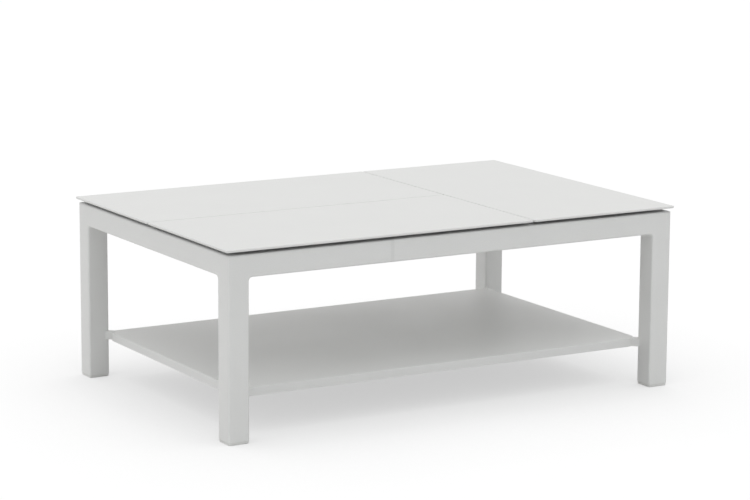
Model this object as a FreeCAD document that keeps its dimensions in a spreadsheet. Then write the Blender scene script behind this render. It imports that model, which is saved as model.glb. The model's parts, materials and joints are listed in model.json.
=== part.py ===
# Adjustable garden table: a welded tube frame with a low shelf, and a top in
# three leaves that each rise and swing towards their user on parallel arms.
# Millimetres, +Z up, origin on the floor under the middle of the top.
# X runs along the table, the front is -Y.

import FreeCAD, Part
import math
import os
import Sketcher
from FreeCAD import Placement, Rotation, Vector

doc = FreeCAD.newDocument("garden_table")

# Driving dimensions

DIMENSIONS = [
    # The top
    ("tableLength", 1200, "overall length of the top"),
    ("tableDepth", 800, "overall depth of the top"),
    ("tableHeight", 440, "floor to the top face"),
    ("plateThickness", 5, "thickness of a leaf plate"),
    ("plateCorner", 5, "corner radius of a leaf plate"),
    ("plateBevel", 1.2, "bevel on the lower edge of a plate"),
    ("plateSoftEdge", 0.6, "rounding of the upper edge of a plate"),
    ("leafGap", 2.5, "gap between two leaves"),
    ("endLeafShare", 0.3333333, "share of the length that the end leaf takes"),
    ("plateOverhang", 6, "plate edge beyond the frame"),
    ("plateLift", 8, "gap between the frame and the plates"),
    # The frame
    ("tubeSize", 52, "side of the square leg and apron tube"),
    ("tubeWall", 2.5, "wall of that tube"),
    ("tubeCorner", 4.5, "outer corner radius of that tube"),
    ("weldRadius", 9, "radius of the weld fillet between leg and apron"),
    ("glideHeight", 7, "height of a foot glide below the leg"),
    ("glideChamfer", 2, "chamfer round the foot of a glide"),
    ("glideInset", 0.8, "glide edge inside the leg face"),
    ("spigotHeight", 22, "spigot of a glide inside the leg"),
    ("spigotPlay", 0.2, "clearance of a spigot in the leg"),
    ("spigotWall", 3, "wall of a spigot"),
    ("crossRailWidth", 30, "width of the rail under the cross seam"),
    ("centreRailWidth", 25, "width of the rail under the long seam"),
    ("railWall", 2, "wall of both inner rails"),
    ("railCorner", 2.5, "outer corner radius of both inner rails"),
    # The shelf
    ("shelfTop", 113, "floor to the top of the shelf"),
    ("shelfThickness", 20, "height of the shelf edge"),
    ("shelfSheet", 2.5, "sheet thickness of the shelf"),
    ("shelfInsetEnd", -3, "inner face of a leg to the shelf edge, at the ends (it laps the leg)"),
    ("shelfInsetSide", 2, "inner face of a leg to the shelf edge, at the sides"),
    ("shelfCut", 22, "corner cut of the shelf"),
    ("shelfBend", 2, "outer bend radius of the shelf edge"),
    ("shelfCornerRadius", 4, "radius of the shelf's upright edges"),
    ("ribWidth", 30, "width of a rib under the shelf"),
    ("ribHeight", 15, "height of a rib"),
    ("ribSpacing", 330, "distance between ribs"),
    ("ribEndGap", 0.5, "gap between a rib and the shelf edge"),
    ("lugWidth", 14, "width of the lug at a shelf corner"),
    ("lugFlare", 3, "radius where the lug meets the shelf"),
    ("lugWeld", 6, "radius where the lug meets the leg"),
    ("shelfBoltRadius", 4, "shank of a shelf bolt"),
    ("shelfBoltGrip", 12, "shank of a shelf bolt inside the lug"),
    ("shelfBoltHead", 6.5, "head radius of a shelf bolt"),
    ("shelfBoltHeadHeight", 5, "head height of a shelf bolt"),
    ("shelfBoltSocket", 3, "half width of the socket in that head"),
    ("shelfBoltSocketDepth", 3, "depth of that socket"),
    # The lift linkage
    ("armEndGap", 9.5, "leaf bracket to the frame's rail behind it"),
    ("armWidth", 20, "width of an arm"),
    ("armThickness", 5, "thickness of an arm"),
    ("armRest", 2, "rise of the arms at rest, in degrees"),
    ("armTravel", 118, "turn of the arms from rest to raised, in degrees"),
    ("pivotHeight", 17, "main pivot below the top of the frame"),
    ("pivotInset", 28, "main pivot behind the apron face"),
    ("pivotSpacing", 60, "main pivot to follower pivot, along"),
    ("pivotDrop", 21, "main pivot to follower pivot, down"),
    ("pinRadius", 5, "shank of a pivot pin"),
    ("pinHead", 8, "head radius of a pivot pin"),
    ("pinHeadHeight", 2.2, "head height of a pivot pin"),
    ("pinHeadGap", 0.5, "pin head off the arm"),
    ("pinPlay", 0.05, "radial clearance of an arm on its pin"),
    ("openPivotPlay", 0.3, "radial clearance of the upper follower pivot"),
    ("plyGap", 1, "gap between two plates of the linkage"),
    ("baseThickness", 4, "thickness of a base plate"),
    ("baseMargin", 22, "base plate beyond its pivots"),
    ("baseCorner", 6, "corner radius of a base plate"),
    ("baseEdge", 2, "base plate edge below the top of the apron"),
    ("baseFoot", 10, "base plate below its lower pivot"),
    ("stopRadius", 3, "radius of the stop stud"),
    ("stopReach", 10, "stop stud from the main pivot along the raised arm"),
    ("stopPlay", 0.3, "gap between the raised arm and the stop stud"),
    ("screwRadius", 2.5, "shank of a base screw"),
    ("screwLength", 12, "length of a base screw"),
    ("screwSink", 2.2, "countersink of a base screw"),
    ("coneShare", 0.99, "share of the countersink that the screw's cone takes"),
    ("screwInset", 8, "base screw from the edge of its plate"),
    ("bracketThickness", 4, "thickness of a leaf bracket"),
    ("bracketMargin", 14, "leaf bracket beyond its pivots, along"),
    ("bracketBelow", 12, "leaf bracket below its pivots"),
    ("bracketCorner", 7, "corner radius of a leaf bracket"),
    ("leafRailWidth", 20, "width of a rail under a leaf"),
    ("leafRailHeight", 13, "height of a rail under a leaf"),
    ("leafRailWall", 1.6, "wall of a rail under a leaf"),
    ("leafRailCorner", 2, "outer corner radius of a rail under a leaf"),
    ("leafRailStart", 22, "side rail before the main pivot"),
    ("leafRailEndGap", 7.5, "side rail to the frame's rail behind it"),
    ("outerCrossInset", 58, "outer cross rail of a leaf to the near end of its side rails"),
    ("innerCrossInset", 30, "inner cross rail of a leaf to the far end of its side rails"),
    ("leafScrewInset", 42, "leaf screw to the end of its side rail"),
    ("leafScrewRadius", 2, "shank of a leaf screw"),
    ("leafScrewHead", 4, "head radius of a leaf screw"),
    ("leafScrewHeadHeight", 2.4, "head height of a leaf screw"),
    ("leafScrewGrip", 3.2, "leaf screw inside the plate"),
    ("holePlay", 0.2, "radial clearance of a screw in a rail"),
    ("crossTubeRadius", 10, "outer radius of the cross tube"),
    ("crossTubeWall", 1.5, "wall of the cross tube"),
    # The lift spring
    ("wireRadius", 1.5, "radius of the spring wire"),
    ("coilRadius", 13, "mean radius of the coil"),
    ("coilPitch", 3.7, "pitch of the coil"),
    ("springInset", 62, "base plate face to the start of the coil"),
    ("springLeg", 24, "length of the straight leg"),
    ("springTang", 3.4, "straight end of the tang in the cross tube"),
    ("tangHolePlay", 0.35, "clearance of the tang in its hole"),
    ("anchorPlay", 0.1, "gap between the spring leg and its anchor"),
    ("anchorScrewInset", 6, "anchor screw below the top of the anchor"),
    ("anchorWidth", 16, "width of a spring anchor"),
    ("anchorSheet", 2.5, "sheet thickness of a spring anchor"),
    ("anchorReach", 12, "reach of a spring anchor from the apron"),
    ("anchorHeight", 22, "height of a spring anchor on the apron"),
    # The rests
    ("restRadius", 5, "radius of a rubber rest"),
    ("restSeat", 7, "rest centre to the edge of a rail it shares"),
    ("restEdge", 9.5, "rest centre to the inner edge of an apron"),
    ("restInset", 94, "rest to the end of its apron"),
    ("restBack", 60, "rest to the long seam"),
    # Shared
    ("overrun", 10, "cutter beyond the face that it cuts"),
]
COIL_TURNS = 6
ROOT_HALF = math.sqrt(0.5)

sheet = doc.addObject("Spreadsheet::Sheet", "sizes")
for row, (alias, value, meaning) in enumerate(DIMENSIONS, start=1):
    sheet.set("A%d" % row, meaning)
    sheet.set("B%d" % row, str(value))
    sheet.setAlias("B%d" % row, alias)
doc.recompute()


class Size:
    """A value worked out from the sheet, with the formula that keeps it bound."""

    def __init__(self, value, formula):
        self.value = float(value)
        self.formula = formula

    def combine(self, other, sign, result):
        return Size(result(self.value, number(other)), "(%s %s %s)" % (self.formula, sign, formula(other)))

    def __add__(self, other):
        return self.combine(other, "+", lambda a, b: a + b)

    def __sub__(self, other):
        return self.combine(other, "-", lambda a, b: a - b)

    def __mul__(self, other):
        return self.combine(other, "*", lambda a, b: a * b)

    def __truediv__(self, other):
        return self.combine(other, "/", lambda a, b: a / b)

    def __neg__(self):
        return Size(-self.value, "(-%s)" % self.formula)

    def __radd__(self, other):
        return self + other

    def __rmul__(self, factor):
        return self * factor


def number(size):
    return size.value if isinstance(size, Size) else float(size)


def formula(size):
    return size.formula if isinstance(size, Size) else repr(size)


def cosine(degrees):
    return Size(math.cos(math.radians(degrees.value)), "cos(%s * 1 deg)" % degrees.formula)


def sine(degrees):
    return Size(math.sin(math.radians(degrees.value)), "sin(%s * 1 deg)" % degrees.formula)


class Sizes:
    """The sheet's dimensions by name."""

    def __getattr__(self, alias):
        return Size(sheet.get(alias), "sizes.%s" % alias)


s = Sizes()

# Places worked out from the driving dimensions

frameHalfLength = s.tableLength / 2 - s.plateOverhang
frameHalfDepth = s.tableDepth / 2 - s.plateOverhang
plateFloor = s.tableHeight - s.plateThickness
frameTop = plateFloor - s.plateLift
apronFloor = frameTop - s.tubeSize
innerHalfLength = frameHalfLength - s.tubeSize
innerHalfDepth = frameHalfDepth - s.tubeSize
seamX = s.tableLength / 2 - s.tableLength * s.endLeafShare
crossRailLeft = seamX - s.crossRailWidth / 2
crossRailRight = seamX + s.crossRailWidth / 2
armPlane = s.baseThickness + s.plyGap
bracketPlane = armPlane + s.armThickness + s.plyGap
leafRailPlane = bracketPlane + s.bracketThickness
pivotZ = frameTop - s.pivotHeight
railStart = -s.leafRailStart


class Lift:
    """One leaf's linkage. Its own axes: x along the pivots, y away from the user, z up,
    with the origin on the main pivot's line, midway between the two base plates.
    bay is the run from the user's apron to the frame's rail behind the linkage."""

    def __init__(self, name, turn, x, y, half, bay):
        self.name = name
        self.turn = turn
        self.x = x
        self.y = y
        self.half = half
        reach = bay - s.pivotInset
        self.armRun = reach - s.pivotSpacing - s.bracketMargin - s.armEndGap
        self.armLength = self.armRun / cosine(s.armRest)
        self.armRise = self.armLength * sine(s.armRest)
        self.railEnd = reach - s.leafRailEndGap

    def spot(self, x, y):
        """The table's X and Y of a point in the linkage's own axes."""
        if self.turn == 0:
            return self.x + x, self.y + y
        if self.turn == 180:
            return self.x - x, self.y - y
        return self.x - y, self.y + x


longBayMiddle = (crossRailLeft - innerHalfLength) / 2
longBayHalf = (crossRailLeft + innerHalfLength) / 2
sideBay = innerHalfDepth - s.centreRailWidth / 2
endBay = innerHalfLength - crossRailRight
LIFTS = [
    Lift("front_leaf", 0, longBayMiddle, s.pivotInset - innerHalfDepth, longBayHalf, sideBay),
    Lift("rear_leaf", 180, longBayMiddle, innerHalfDepth - s.pivotInset, longBayHalf, sideBay),
    Lift("end_leaf", 90, innerHalfLength - s.pivotInset, 0, innerHalfDepth, endBay),
]
SIDES = [("left", 1), ("right", -1)]

# Nodes to write, by name

nodes = {}


def keep(name, thing):
    """Marks an object as the node of that name."""
    thing.Label = name
    nodes[name] = thing
    return thing


def move(thing, x, y, z, rotation=None):
    """Puts a piece at bound coordinates, turned by a fixed rotation."""
    thing.Placement = Placement(Vector(number(x), number(y), number(z)), rotation or Rotation())
    for axis, size in (("x", x), ("y", y), ("z", z)):
        if isinstance(size, Size):
            thing.setExpression("Placement.Base.%s" % axis, size.formula)
    return thing


def turnZ(degrees):
    return Rotation(Vector(0, 0, 1), degrees)


def bind(thing, **properties):
    """Sets properties of a feature from sizes."""
    for prop, size in properties.items():
        setattr(thing, prop, number(size))
        if isinstance(size, Size):
            thing.setExpression(prop, size.formula)
    return thing


# Sketches and features

def newBody(name):
    return doc.addObject("PartDesign::Body", name)


def newSketch(body, role, name, offset=0):
    """A sketch on one of the body's own origin planes, or that far along its normal."""
    sketch = body.newObject("Sketcher::SketchObject", name)
    plane = [o for o in body.Origin.OriginFeatures if o.Role == role][0]
    sketch.AttachmentSupport = [(plane, "")]
    sketch.MapMode = "FlatFace"
    if number(offset) != 0:
        sketch.AttachmentOffset = Placement(Vector(0, 0, number(offset)), Rotation())
        sketch.setExpression("AttachmentOffset.Base.z", formula(offset))
    return sketch


def fix(sketch, kind, item, point, size):
    """Fixes one coordinate of a sketch point at a bound size."""
    if number(size) == 0:
        axis = -2 if kind == "DistanceX" else -1
        sketch.addConstraint(Sketcher.Constraint("PointOnObject", item, point, axis))
        return
    index = sketch.addConstraint(Sketcher.Constraint(kind, -1, 1, item, point, number(size)))
    sketch.setExpression("Constraints[%d]" % index, formula(size))


def outline(sketch, points, arcs=None):
    """A closed outline through bound points. arcs gives, for the side that starts at a point's
    index, its bound radius and the side of the chord that it bulges to: 1 left, -1 right."""
    arcs = arcs or {}
    first = sketch.GeometryCount
    count = len(points)
    for i, (x, y) in enumerate(points):
        start = Vector(number(x), number(y), 0)
        end = Vector(number(points[(i + 1) % count][0]), number(points[(i + 1) % count][1]), 0)
        if i in arcs:
            radius, side = arcs[i]
            sketch.addGeometry(arcBetween(start, end, number(radius), side), False)
        else:
            sketch.addGeometry(Part.LineSegment(start, end), False)
    reversedArcs = [i for i, (radius, side) in arcs.items() if side == 1]
    for i, (x, y) in enumerate(points):
        ownStart, ownEnd = (2, 1) if i in reversedArcs else (1, 2)
        after = (i + 1) % count
        nextStart = 2 if after in reversedArcs else 1
        sketch.addConstraint(Sketcher.Constraint("Coincident", first + i, ownEnd, first + after, nextStart))
        fix(sketch, "DistanceX", first + i, ownStart, x)
        fix(sketch, "DistanceY", first + i, ownStart, y)
    for i, (radius, side) in arcs.items():
        index = sketch.addConstraint(Sketcher.Constraint("Radius", first + i, number(radius)))
        sketch.setExpression("Constraints[%d]" % index, formula(radius))


def arcBetween(start, end, radius, side):
    """The minor arc of that radius between two points, bulging left (1) or right (-1) of the chord."""
    chord = end - start
    half = chord.Length / 2
    left = Vector(-chord.y, chord.x, 0).normalize()
    depth = math.sqrt(max(radius * radius - half * half, 0))
    centre = start + chord * 0.5 - left * (side * depth)
    middle = centre + left * (side * radius)
    return Part.Arc(start, middle, end)


def rectangle(sketch, left, low, right, high):
    outline(sketch, [(left, low), (right, low), (right, high), (left, high)])


def roundedRectangle(sketch, left, low, right, high, radius):
    outline(sketch, [
        (left + radius, low), (right - radius, low),
        (right, low + radius), (right, high - radius),
        (right - radius, high), (left + radius, high),
        (left, high - radius), (left, low + radius),
    ], {1: (radius, -1), 3: (radius, -1), 5: (radius, -1), 7: (radius, -1)})


def circle(sketch, x, y, radius):
    centre = Vector(number(x), number(y), 0)
    item = sketch.addGeometry(Part.Circle(centre, Vector(0, 0, 1), number(radius)), False)
    if number(x) == 0 and number(y) == 0:
        sketch.addConstraint(Sketcher.Constraint("Coincident", item, 3, -1, 1))
    else:
        fix(sketch, "DistanceX", item, 3, x)
        fix(sketch, "DistanceY", item, 3, y)
    index = sketch.addConstraint(Sketcher.Constraint("Radius", item, number(radius)))
    sketch.setExpression("Constraints[%d]" % index, formula(radius))


def slot(sketch, length, radius):
    """A bar with round ends from the origin to a point along the sketch's first axis."""
    far, r = number(length), number(radius)
    near = Part.ArcOfCircle(Part.Circle(Vector(0, 0, 0), Vector(0, 0, 1), r), math.pi / 2, 3 * math.pi / 2)
    end = Part.ArcOfCircle(Part.Circle(Vector(far, 0, 0), Vector(0, 0, 1), r), -math.pi / 2, math.pi / 2)
    a = sketch.addGeometry(near, False)
    b = sketch.addGeometry(Part.LineSegment(Vector(0, -r, 0), Vector(far, -r, 0)), False)
    c = sketch.addGeometry(end, False)
    d = sketch.addGeometry(Part.LineSegment(Vector(far, r, 0), Vector(0, r, 0)), False)
    for one, onePoint, two, twoPoint in ((a, 2, b, 1), (b, 2, c, 1), (c, 2, d, 1), (d, 2, a, 1)):
        sketch.addConstraint(Sketcher.Constraint("Tangent", one, onePoint, two, twoPoint))
    sketch.addConstraint(Sketcher.Constraint("Coincident", a, 3, -1, 1))
    sketch.addConstraint(Sketcher.Constraint("PointOnObject", c, 3, -1))
    index = sketch.addConstraint(Sketcher.Constraint("DistanceX", -1, 1, c, 3, far))
    sketch.setExpression("Constraints[%d]" % index, formula(length))
    for arc in (a, c):
        index = sketch.addConstraint(Sketcher.Constraint("Radius", arc, r))
        sketch.setExpression("Constraints[%d]" % index, formula(radius))


def pad(body, sketch, length, towards=1, both=False):
    """Adds the sketch's area over a length, along its normal (1) or against it (-1), or half each way."""
    feature = body.newObject("PartDesign::Pad", sketch.Name + "_pad")
    feature.Profile = sketch
    bind(feature, Length=length)
    feature.Reversed = towards < 0
    feature.Midplane = both
    return feature


def pocket(body, sketch, depth, towards=1, both=False):
    """Cuts the sketch's area over a depth, along its normal (1) or against it (-1), or half each way."""
    doc.recompute()
    before = body.Shape.Volume
    feature = body.newObject("PartDesign::Pocket", sketch.Name + "_pocket")
    feature.Profile = sketch
    bind(feature, Length=depth)
    feature.Reversed = towards > 0
    feature.Midplane = both
    doc.recompute()
    if body.Shape.Volume >= before:
        raise RuntimeError("%s cuts nothing" % feature.Name)
    return feature


def dressEdges(body, kind, name, size, chosen):
    """Rounds (Fillet) or bevels (Chamfer) the edges of the body's tip that the test picks."""
    doc.recompute()
    tip = body.Tip
    picked = ["Edge%d" % (i + 1) for i, edge in enumerate(tip.Shape.Edges) if chosen(edge)]
    feature = body.newObject("PartDesign::" + kind, name)
    feature.Base = (tip, picked)
    bind(feature, **{"Radius" if kind == "Fillet" else "Size": size})
    return feature


def runsAlong(edge, axis):
    """True for a straight edge that runs along that axis."""
    if not isinstance(edge.Curve, Part.Line):
        return False
    return abs(edge.Curve.Direction.dot(axis)) > 0.999


def nearly(a, b):
    return abs(a - b) < 1e-4


def tubeBody(name, width, height, length, wall, corner):
    """A straight box tube along X, centred on its origin."""
    body = newBody(name)
    section = newSketch(body, "YZ_Plane", name + "_section")
    roundedRectangle(section, -(width / 2), -(height / 2), width / 2, height / 2, corner)
    rectangle(section, wall - width / 2, wall - height / 2, width / 2 - wall, height / 2 - wall)
    pad(body, section, length, both=True)
    return body


def group(name, things):
    """Several separate solids under one name."""
    compound = doc.addObject("Part::Compound", name)
    compound.Links = things
    return keep(name, compound)


def copyAt(thing, name, x, y, z, rotation=None):
    """A copy of a piece at another place."""
    link = doc.addObject("App::Link", name)
    link.LinkedObject = thing
    return move(link, x, y, z, rotation)


def cutAway(name, base, tools):
    """base without its tools."""
    if len(tools) == 1:
        tool = tools[0]
    else:
        tool = doc.addObject("Part::Compound", name + "_tools")
        tool.Links = tools
    cut = doc.addObject("Part::Cut", name + "_cut")
    cut.Base = base
    cut.Tool = tool
    return cut


# Frame

legBlank = newBody("leg_blank")
blankSection = newSketch(legBlank, "XY_Plane", "leg_blank_section")
halfTube = s.tubeSize / 2
roundedRectangle(blankSection, -halfTube, -halfTube, halfTube, halfTube, s.tubeCorner)
pad(legBlank, blankSection, s.tableHeight)

CORNERS = [("front_left", -1, -1), ("front_right", 1, -1), ("rear_left", -1, 1), ("rear_right", 1, 1)]
legX = frameHalfLength - halfTube
legY = frameHalfDepth - halfTube
legHoles = {name: copyAt(legBlank, name + "_leg_hole", sx * legX, sy * legY, 0) for name, sx, sy in CORNERS}

halfCorner = s.tubeCorner / 2
cornerBlank = newBody("corner_blank")
cornerSection = newSketch(cornerBlank, "XY_Plane", "corner_blank_section")
rectangle(cornerSection, -halfCorner, -halfCorner, halfCorner, halfCorner)
pad(cornerBlank, cornerSection, s.tableHeight)
cornerHoles = {
    name: copyAt(cornerBlank, name + "_corner_hole", sx * (innerHalfLength + halfCorner),
                 sy * (innerHalfDepth + halfCorner), 0)
    for name, sx, sy in CORNERS
}


def makeLeg(name, sx, sy):
    """A square tube, closed at the top, with its two outer top edges rounded like the aprons."""
    body = newBody(name + "_leg")
    height = frameTop - s.glideHeight
    section = newSketch(body, "XY_Plane", name + "_leg_section")
    roundedRectangle(section, -halfTube, -halfTube, halfTube, halfTube, s.tubeCorner)
    pad(body, section, height)
    for side, plane in ((sy, "YZ_Plane"), (sx, "XZ_Plane")):
        edge = newSketch(body, plane, "%s_leg_edge_%s" % (name, plane[:2]))
        outer = side * halfTube
        outline(edge, [
            (outer, height), (outer, height - s.tubeCorner), (outer - side * s.tubeCorner, height),
        ], {1: (s.tubeCorner, -side)})
        pocket(body, edge, s.tubeSize + s.overrun, both=True)
    bore = newSketch(body, "XY_Plane", name + "_leg_bore")
    wallLine = halfTube - s.tubeWall
    rectangle(bore, -wallLine, -wallLine, wallLine, wallLine)
    pocket(body, bore, height - s.tubeWall)
    move(body, sx * legX, sy * legY, s.glideHeight)
    return keep(name + "_leg", body)


def makeGlides():
    """A foot under each leg, held by a spigot."""
    body = newBody("foot_glide")
    half = halfTube - s.glideInset
    foot = newSketch(body, "XY_Plane", "glide_foot")
    roundedRectangle(foot, -half, -half, half, half, s.tubeCorner)
    pad(body, foot, s.glideHeight)
    dressEdges(body, "Chamfer", "glide_chamfer", s.glideChamfer,
               lambda edge: all(nearly(v.Z, 0) for v in edge.Vertexes))
    spigot = newSketch(body, "XY_Plane", "glide_spigot")
    inside = halfTube - s.tubeWall - s.spigotPlay
    rectangle(spigot, -inside, -inside, inside, inside)
    pad(body, spigot, s.glideHeight + s.spigotHeight)
    hollow = newSketch(body, "XY_Plane", "glide_hollow", s.glideHeight + s.spigotHeight)
    wall = inside - s.spigotWall
    rectangle(hollow, -wall, -wall, wall, wall)
    pocket(body, hollow, s.spigotHeight, -1)
    return group("foot_glides", [
        copyAt(body, name + "_glide", sx * legX, sy * legY, 0) for name, sx, sy in CORNERS
    ])


def makeApron(name, halfRun, x, y, turn, holes):
    """A tube between two legs, coped round their corners, with weld fillets under both ends."""
    length = 2 * (halfRun + s.tubeCorner)
    body = tubeBody(name + "_tube", s.tubeSize, s.tubeSize, length, s.tubeWall, s.tubeCorner)
    welds = newSketch(body, "XZ_Plane", name + "_welds")
    low = -halfTube
    for end in (1, -1):
        face = end * halfRun
        outline(welds, [
            (face, low), (face, low - s.weldRadius), (face - end * s.weldRadius, low),
        ], {1: (s.weldRadius, -end)})
    pad(body, welds, s.tubeSize - 2 * s.tubeCorner, both=True)
    move(body, x, y, frameTop - halfTube, turnZ(turn))
    return keep(name, cutAway(name, body, holes))


def makeRail(name, width, halfRun, x, y, turn, holes):
    """An inner rail of the frame, between two faces."""
    body = tubeBody(name + "_tube", width, s.tubeSize, 2 * halfRun, s.railWall, s.railCorner)
    move(body, x, y, frameTop - halfTube, turnZ(turn))
    return keep(name, cutAway(name, body, holes) if holes else body)


# Shelf

shelfHalfLength = innerHalfLength - s.shelfInsetEnd
shelfHalfDepth = innerHalfDepth - s.shelfInsetSide
shelfFloor = s.shelfTop - s.shelfThickness
lugReach = (innerHalfLength + innerHalfDepth - shelfHalfLength - shelfHalfDepth + s.shelfCut) * ROOT_HALF


def cutCornerOutline(sketch, halfLength, halfDepth, cut):
    """A rectangle with its corners cut at 45 degrees."""
    outline(sketch, [
        (halfLength, cut - halfDepth), (halfLength, halfDepth - cut),
        (halfLength - cut, halfDepth), (cut - halfLength, halfDepth),
        (-halfLength, halfDepth - cut), (-halfLength, cut - halfDepth),
        (cut - halfLength, -halfDepth), (halfLength - cut, -halfDepth),
    ])


def diagonalCopies(thing, name):
    """A copy of a piece at each leg's inner corner, its own +X pointing out along the diagonal."""
    return [
        copyAt(thing, "%s_%s" % (corner, name), sx * innerHalfLength, sy * innerHalfDepth,
               shelfFloor + s.shelfThickness / 2, turnZ(math.degrees(math.atan2(sy, sx))))
        for corner, sx, sy in CORNERS
    ]


def boltHole():
    """The hole for a shelf bolt, along its own +X from inside the shelf to its end in the lug."""
    body = newBody("shelf_bolt_hole")
    section = newSketch(body, "YZ_Plane", "shelf_bolt_hole_section", -(lugReach + s.shelfThickness))
    circle(section, 0, 0, s.shelfBoltRadius + s.holePlay)
    pad(body, section, s.shelfThickness + s.shelfBoltGrip + s.holePlay)
    return body


def makeShelf(holes):
    """A sheet tray with its edges turned down."""
    body = newBody("shelf_tray")
    face = newSketch(body, "XY_Plane", "shelf_outline")
    cutCornerOutline(face, shelfHalfLength, shelfHalfDepth, s.shelfCut)
    pad(body, face, s.shelfThickness)
    dressEdges(body, "Fillet", "shelf_corners", s.shelfCornerRadius,
               lambda edge: runsAlong(edge, Vector(0, 0, 1)))
    top = number(s.shelfThickness)
    dressEdges(body, "Fillet", "shelf_bends", s.shelfBend,
               lambda edge: all(nearly(v.Z, top) for v in edge.Vertexes))
    hollow = newSketch(body, "XY_Plane", "shelf_hollow")
    cutCornerOutline(hollow, shelfHalfLength - s.shelfSheet, shelfHalfDepth - s.shelfSheet,
                     s.shelfCut - s.shelfSheet * (2 - 2 * ROOT_HALF))
    pocket(body, hollow, s.shelfThickness - s.shelfSheet)
    move(body, 0, 0, shelfFloor)
    return keep("shelf_tray", cutAway("shelf_tray", body, holes))


def makeShelfRibs():
    """Box ribs across the underside of the tray."""
    run = 2 * (shelfHalfDepth - s.shelfSheet - s.ribEndGap)
    rib = tubeBody("shelf_rib", s.ribWidth, s.ribHeight, run, s.railWall, s.railCorner)
    height = s.shelfTop - s.shelfSheet - s.ribHeight / 2
    return group("shelf_ribs", [
        copyAt(rib, "shelf_rib_%d" % (i + 2), i * s.ribSpacing, 0, height, turnZ(90)) for i in (-1, 0, 1)
    ])


def makeLugs(holes):
    """A short diagonal block between each cut corner and the leg's inner corner, saddled round the leg."""
    body = newBody("shelf_lug")
    section = newSketch(body, "XY_Plane", "shelf_lug_outline")
    half = s.lugWidth / 2
    flare, weld, corner = s.lugFlare, s.lugWeld, s.tubeCorner
    weldStart = half + weld - weld * (2 * ROOT_HALF)
    weldEnd = half + weld - weld * ROOT_HALF
    saddle = corner * ROOT_HALF
    outline(section, [
        (-lugReach, -(half + flare)), (flare - lugReach, -half),
        (weldStart, -half), (weldEnd, -weldEnd), (saddle, -saddle),
        (saddle, saddle), (weldEnd, weldEnd), (weldStart, half),
        (flare - lugReach, half), (-lugReach, half + flare),
    ], {0: (flare, 1), 2: (weld, 1), 4: (corner, 1), 6: (weld, 1), 8: (flare, 1)})
    pad(body, section, s.shelfThickness, both=True)
    lug = cutAway("shelf_lug", body, [holes])
    return group("shelf_corner_lugs", diagonalCopies(lug, "shelf_lug"))


def hexagon(sketch, halfFlats):
    """A hexagon about the origin, half its size across flats given."""
    corner = halfFlats / math.cos(math.pi / 6)
    points = []
    for i in range(6):
        angle = math.pi * i / 3
        points.append((corner * math.cos(angle), corner * math.sin(angle) if i % 3 else 0))
    outline(sketch, points)


def makeShelfBolts():
    """A socket bolt through each cut corner of the tray into its lug."""
    body = newBody("shelf_bolt")
    back = -(lugReach + s.shelfSheet + s.shelfBoltHeadHeight)
    head = newSketch(body, "YZ_Plane", "shelf_bolt_head", back)
    circle(head, 0, 0, s.shelfBoltHead)
    pad(body, head, s.shelfBoltHeadHeight)
    shank = newSketch(body, "YZ_Plane", "shelf_bolt_shank", back)
    circle(shank, 0, 0, s.shelfBoltRadius)
    pad(body, shank, s.shelfBoltHeadHeight + s.shelfSheet + s.shelfBoltGrip)
    socket = newSketch(body, "YZ_Plane", "shelf_bolt_socket", back)
    hexagon(socket, s.shelfBoltSocket)
    pocket(body, socket, s.shelfBoltSocketDepth)
    return group("shelf_bolts", diagonalCopies(body, "shelf_bolt"))


# Countersunk screws of the linkage

def countersunkScrew():
    """A screw along its own -X, its flat head in the plane x = 0."""
    body = newBody("base_screw")
    head = newSketch(body, "YZ_Plane", "base_screw_head")
    circle(head, 0, 0, s.screwRadius + s.screwSink)
    pad(body, head, s.screwSink, -1)
    dressEdges(body, "Chamfer", "base_screw_cone", s.screwSink * s.coneShare,
               lambda edge: all(nearly(v.X, -number(s.screwSink)) for v in edge.Vertexes))
    shank = newSketch(body, "YZ_Plane", "base_screw_shank")
    circle(shank, 0, 0, s.screwRadius)
    pad(body, shank, s.screwLength, -1)
    return body


def screwHole():
    """The clear hole that such a screw needs, along its own -X."""
    body = newBody("screw_hole")
    shank = newSketch(body, "YZ_Plane", "screw_hole_section")
    circle(shank, 0, 0, s.screwRadius + s.holePlay)
    pad(body, shank, s.screwLength + s.holePlay, -1)
    return body


def inward(lift, side):
    """The turn that points a piece's own +X from a base plate to the middle of its linkage."""
    return turnZ(lift.turn + (0 if side == 1 else 180))


baseAbove = s.pivotHeight - s.baseEdge
baseBelow = s.pivotDrop + s.baseFoot
BASE_SCREWS = [
    (s.screwInset - s.baseMargin, s.pivotHeight - halfTube),
    (s.pivotSpacing / 2, baseAbove - s.screwInset),
    (s.pivotSpacing + s.baseMargin - s.screwInset, baseAbove - s.screwInset),
]


# Lift linkage

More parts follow.
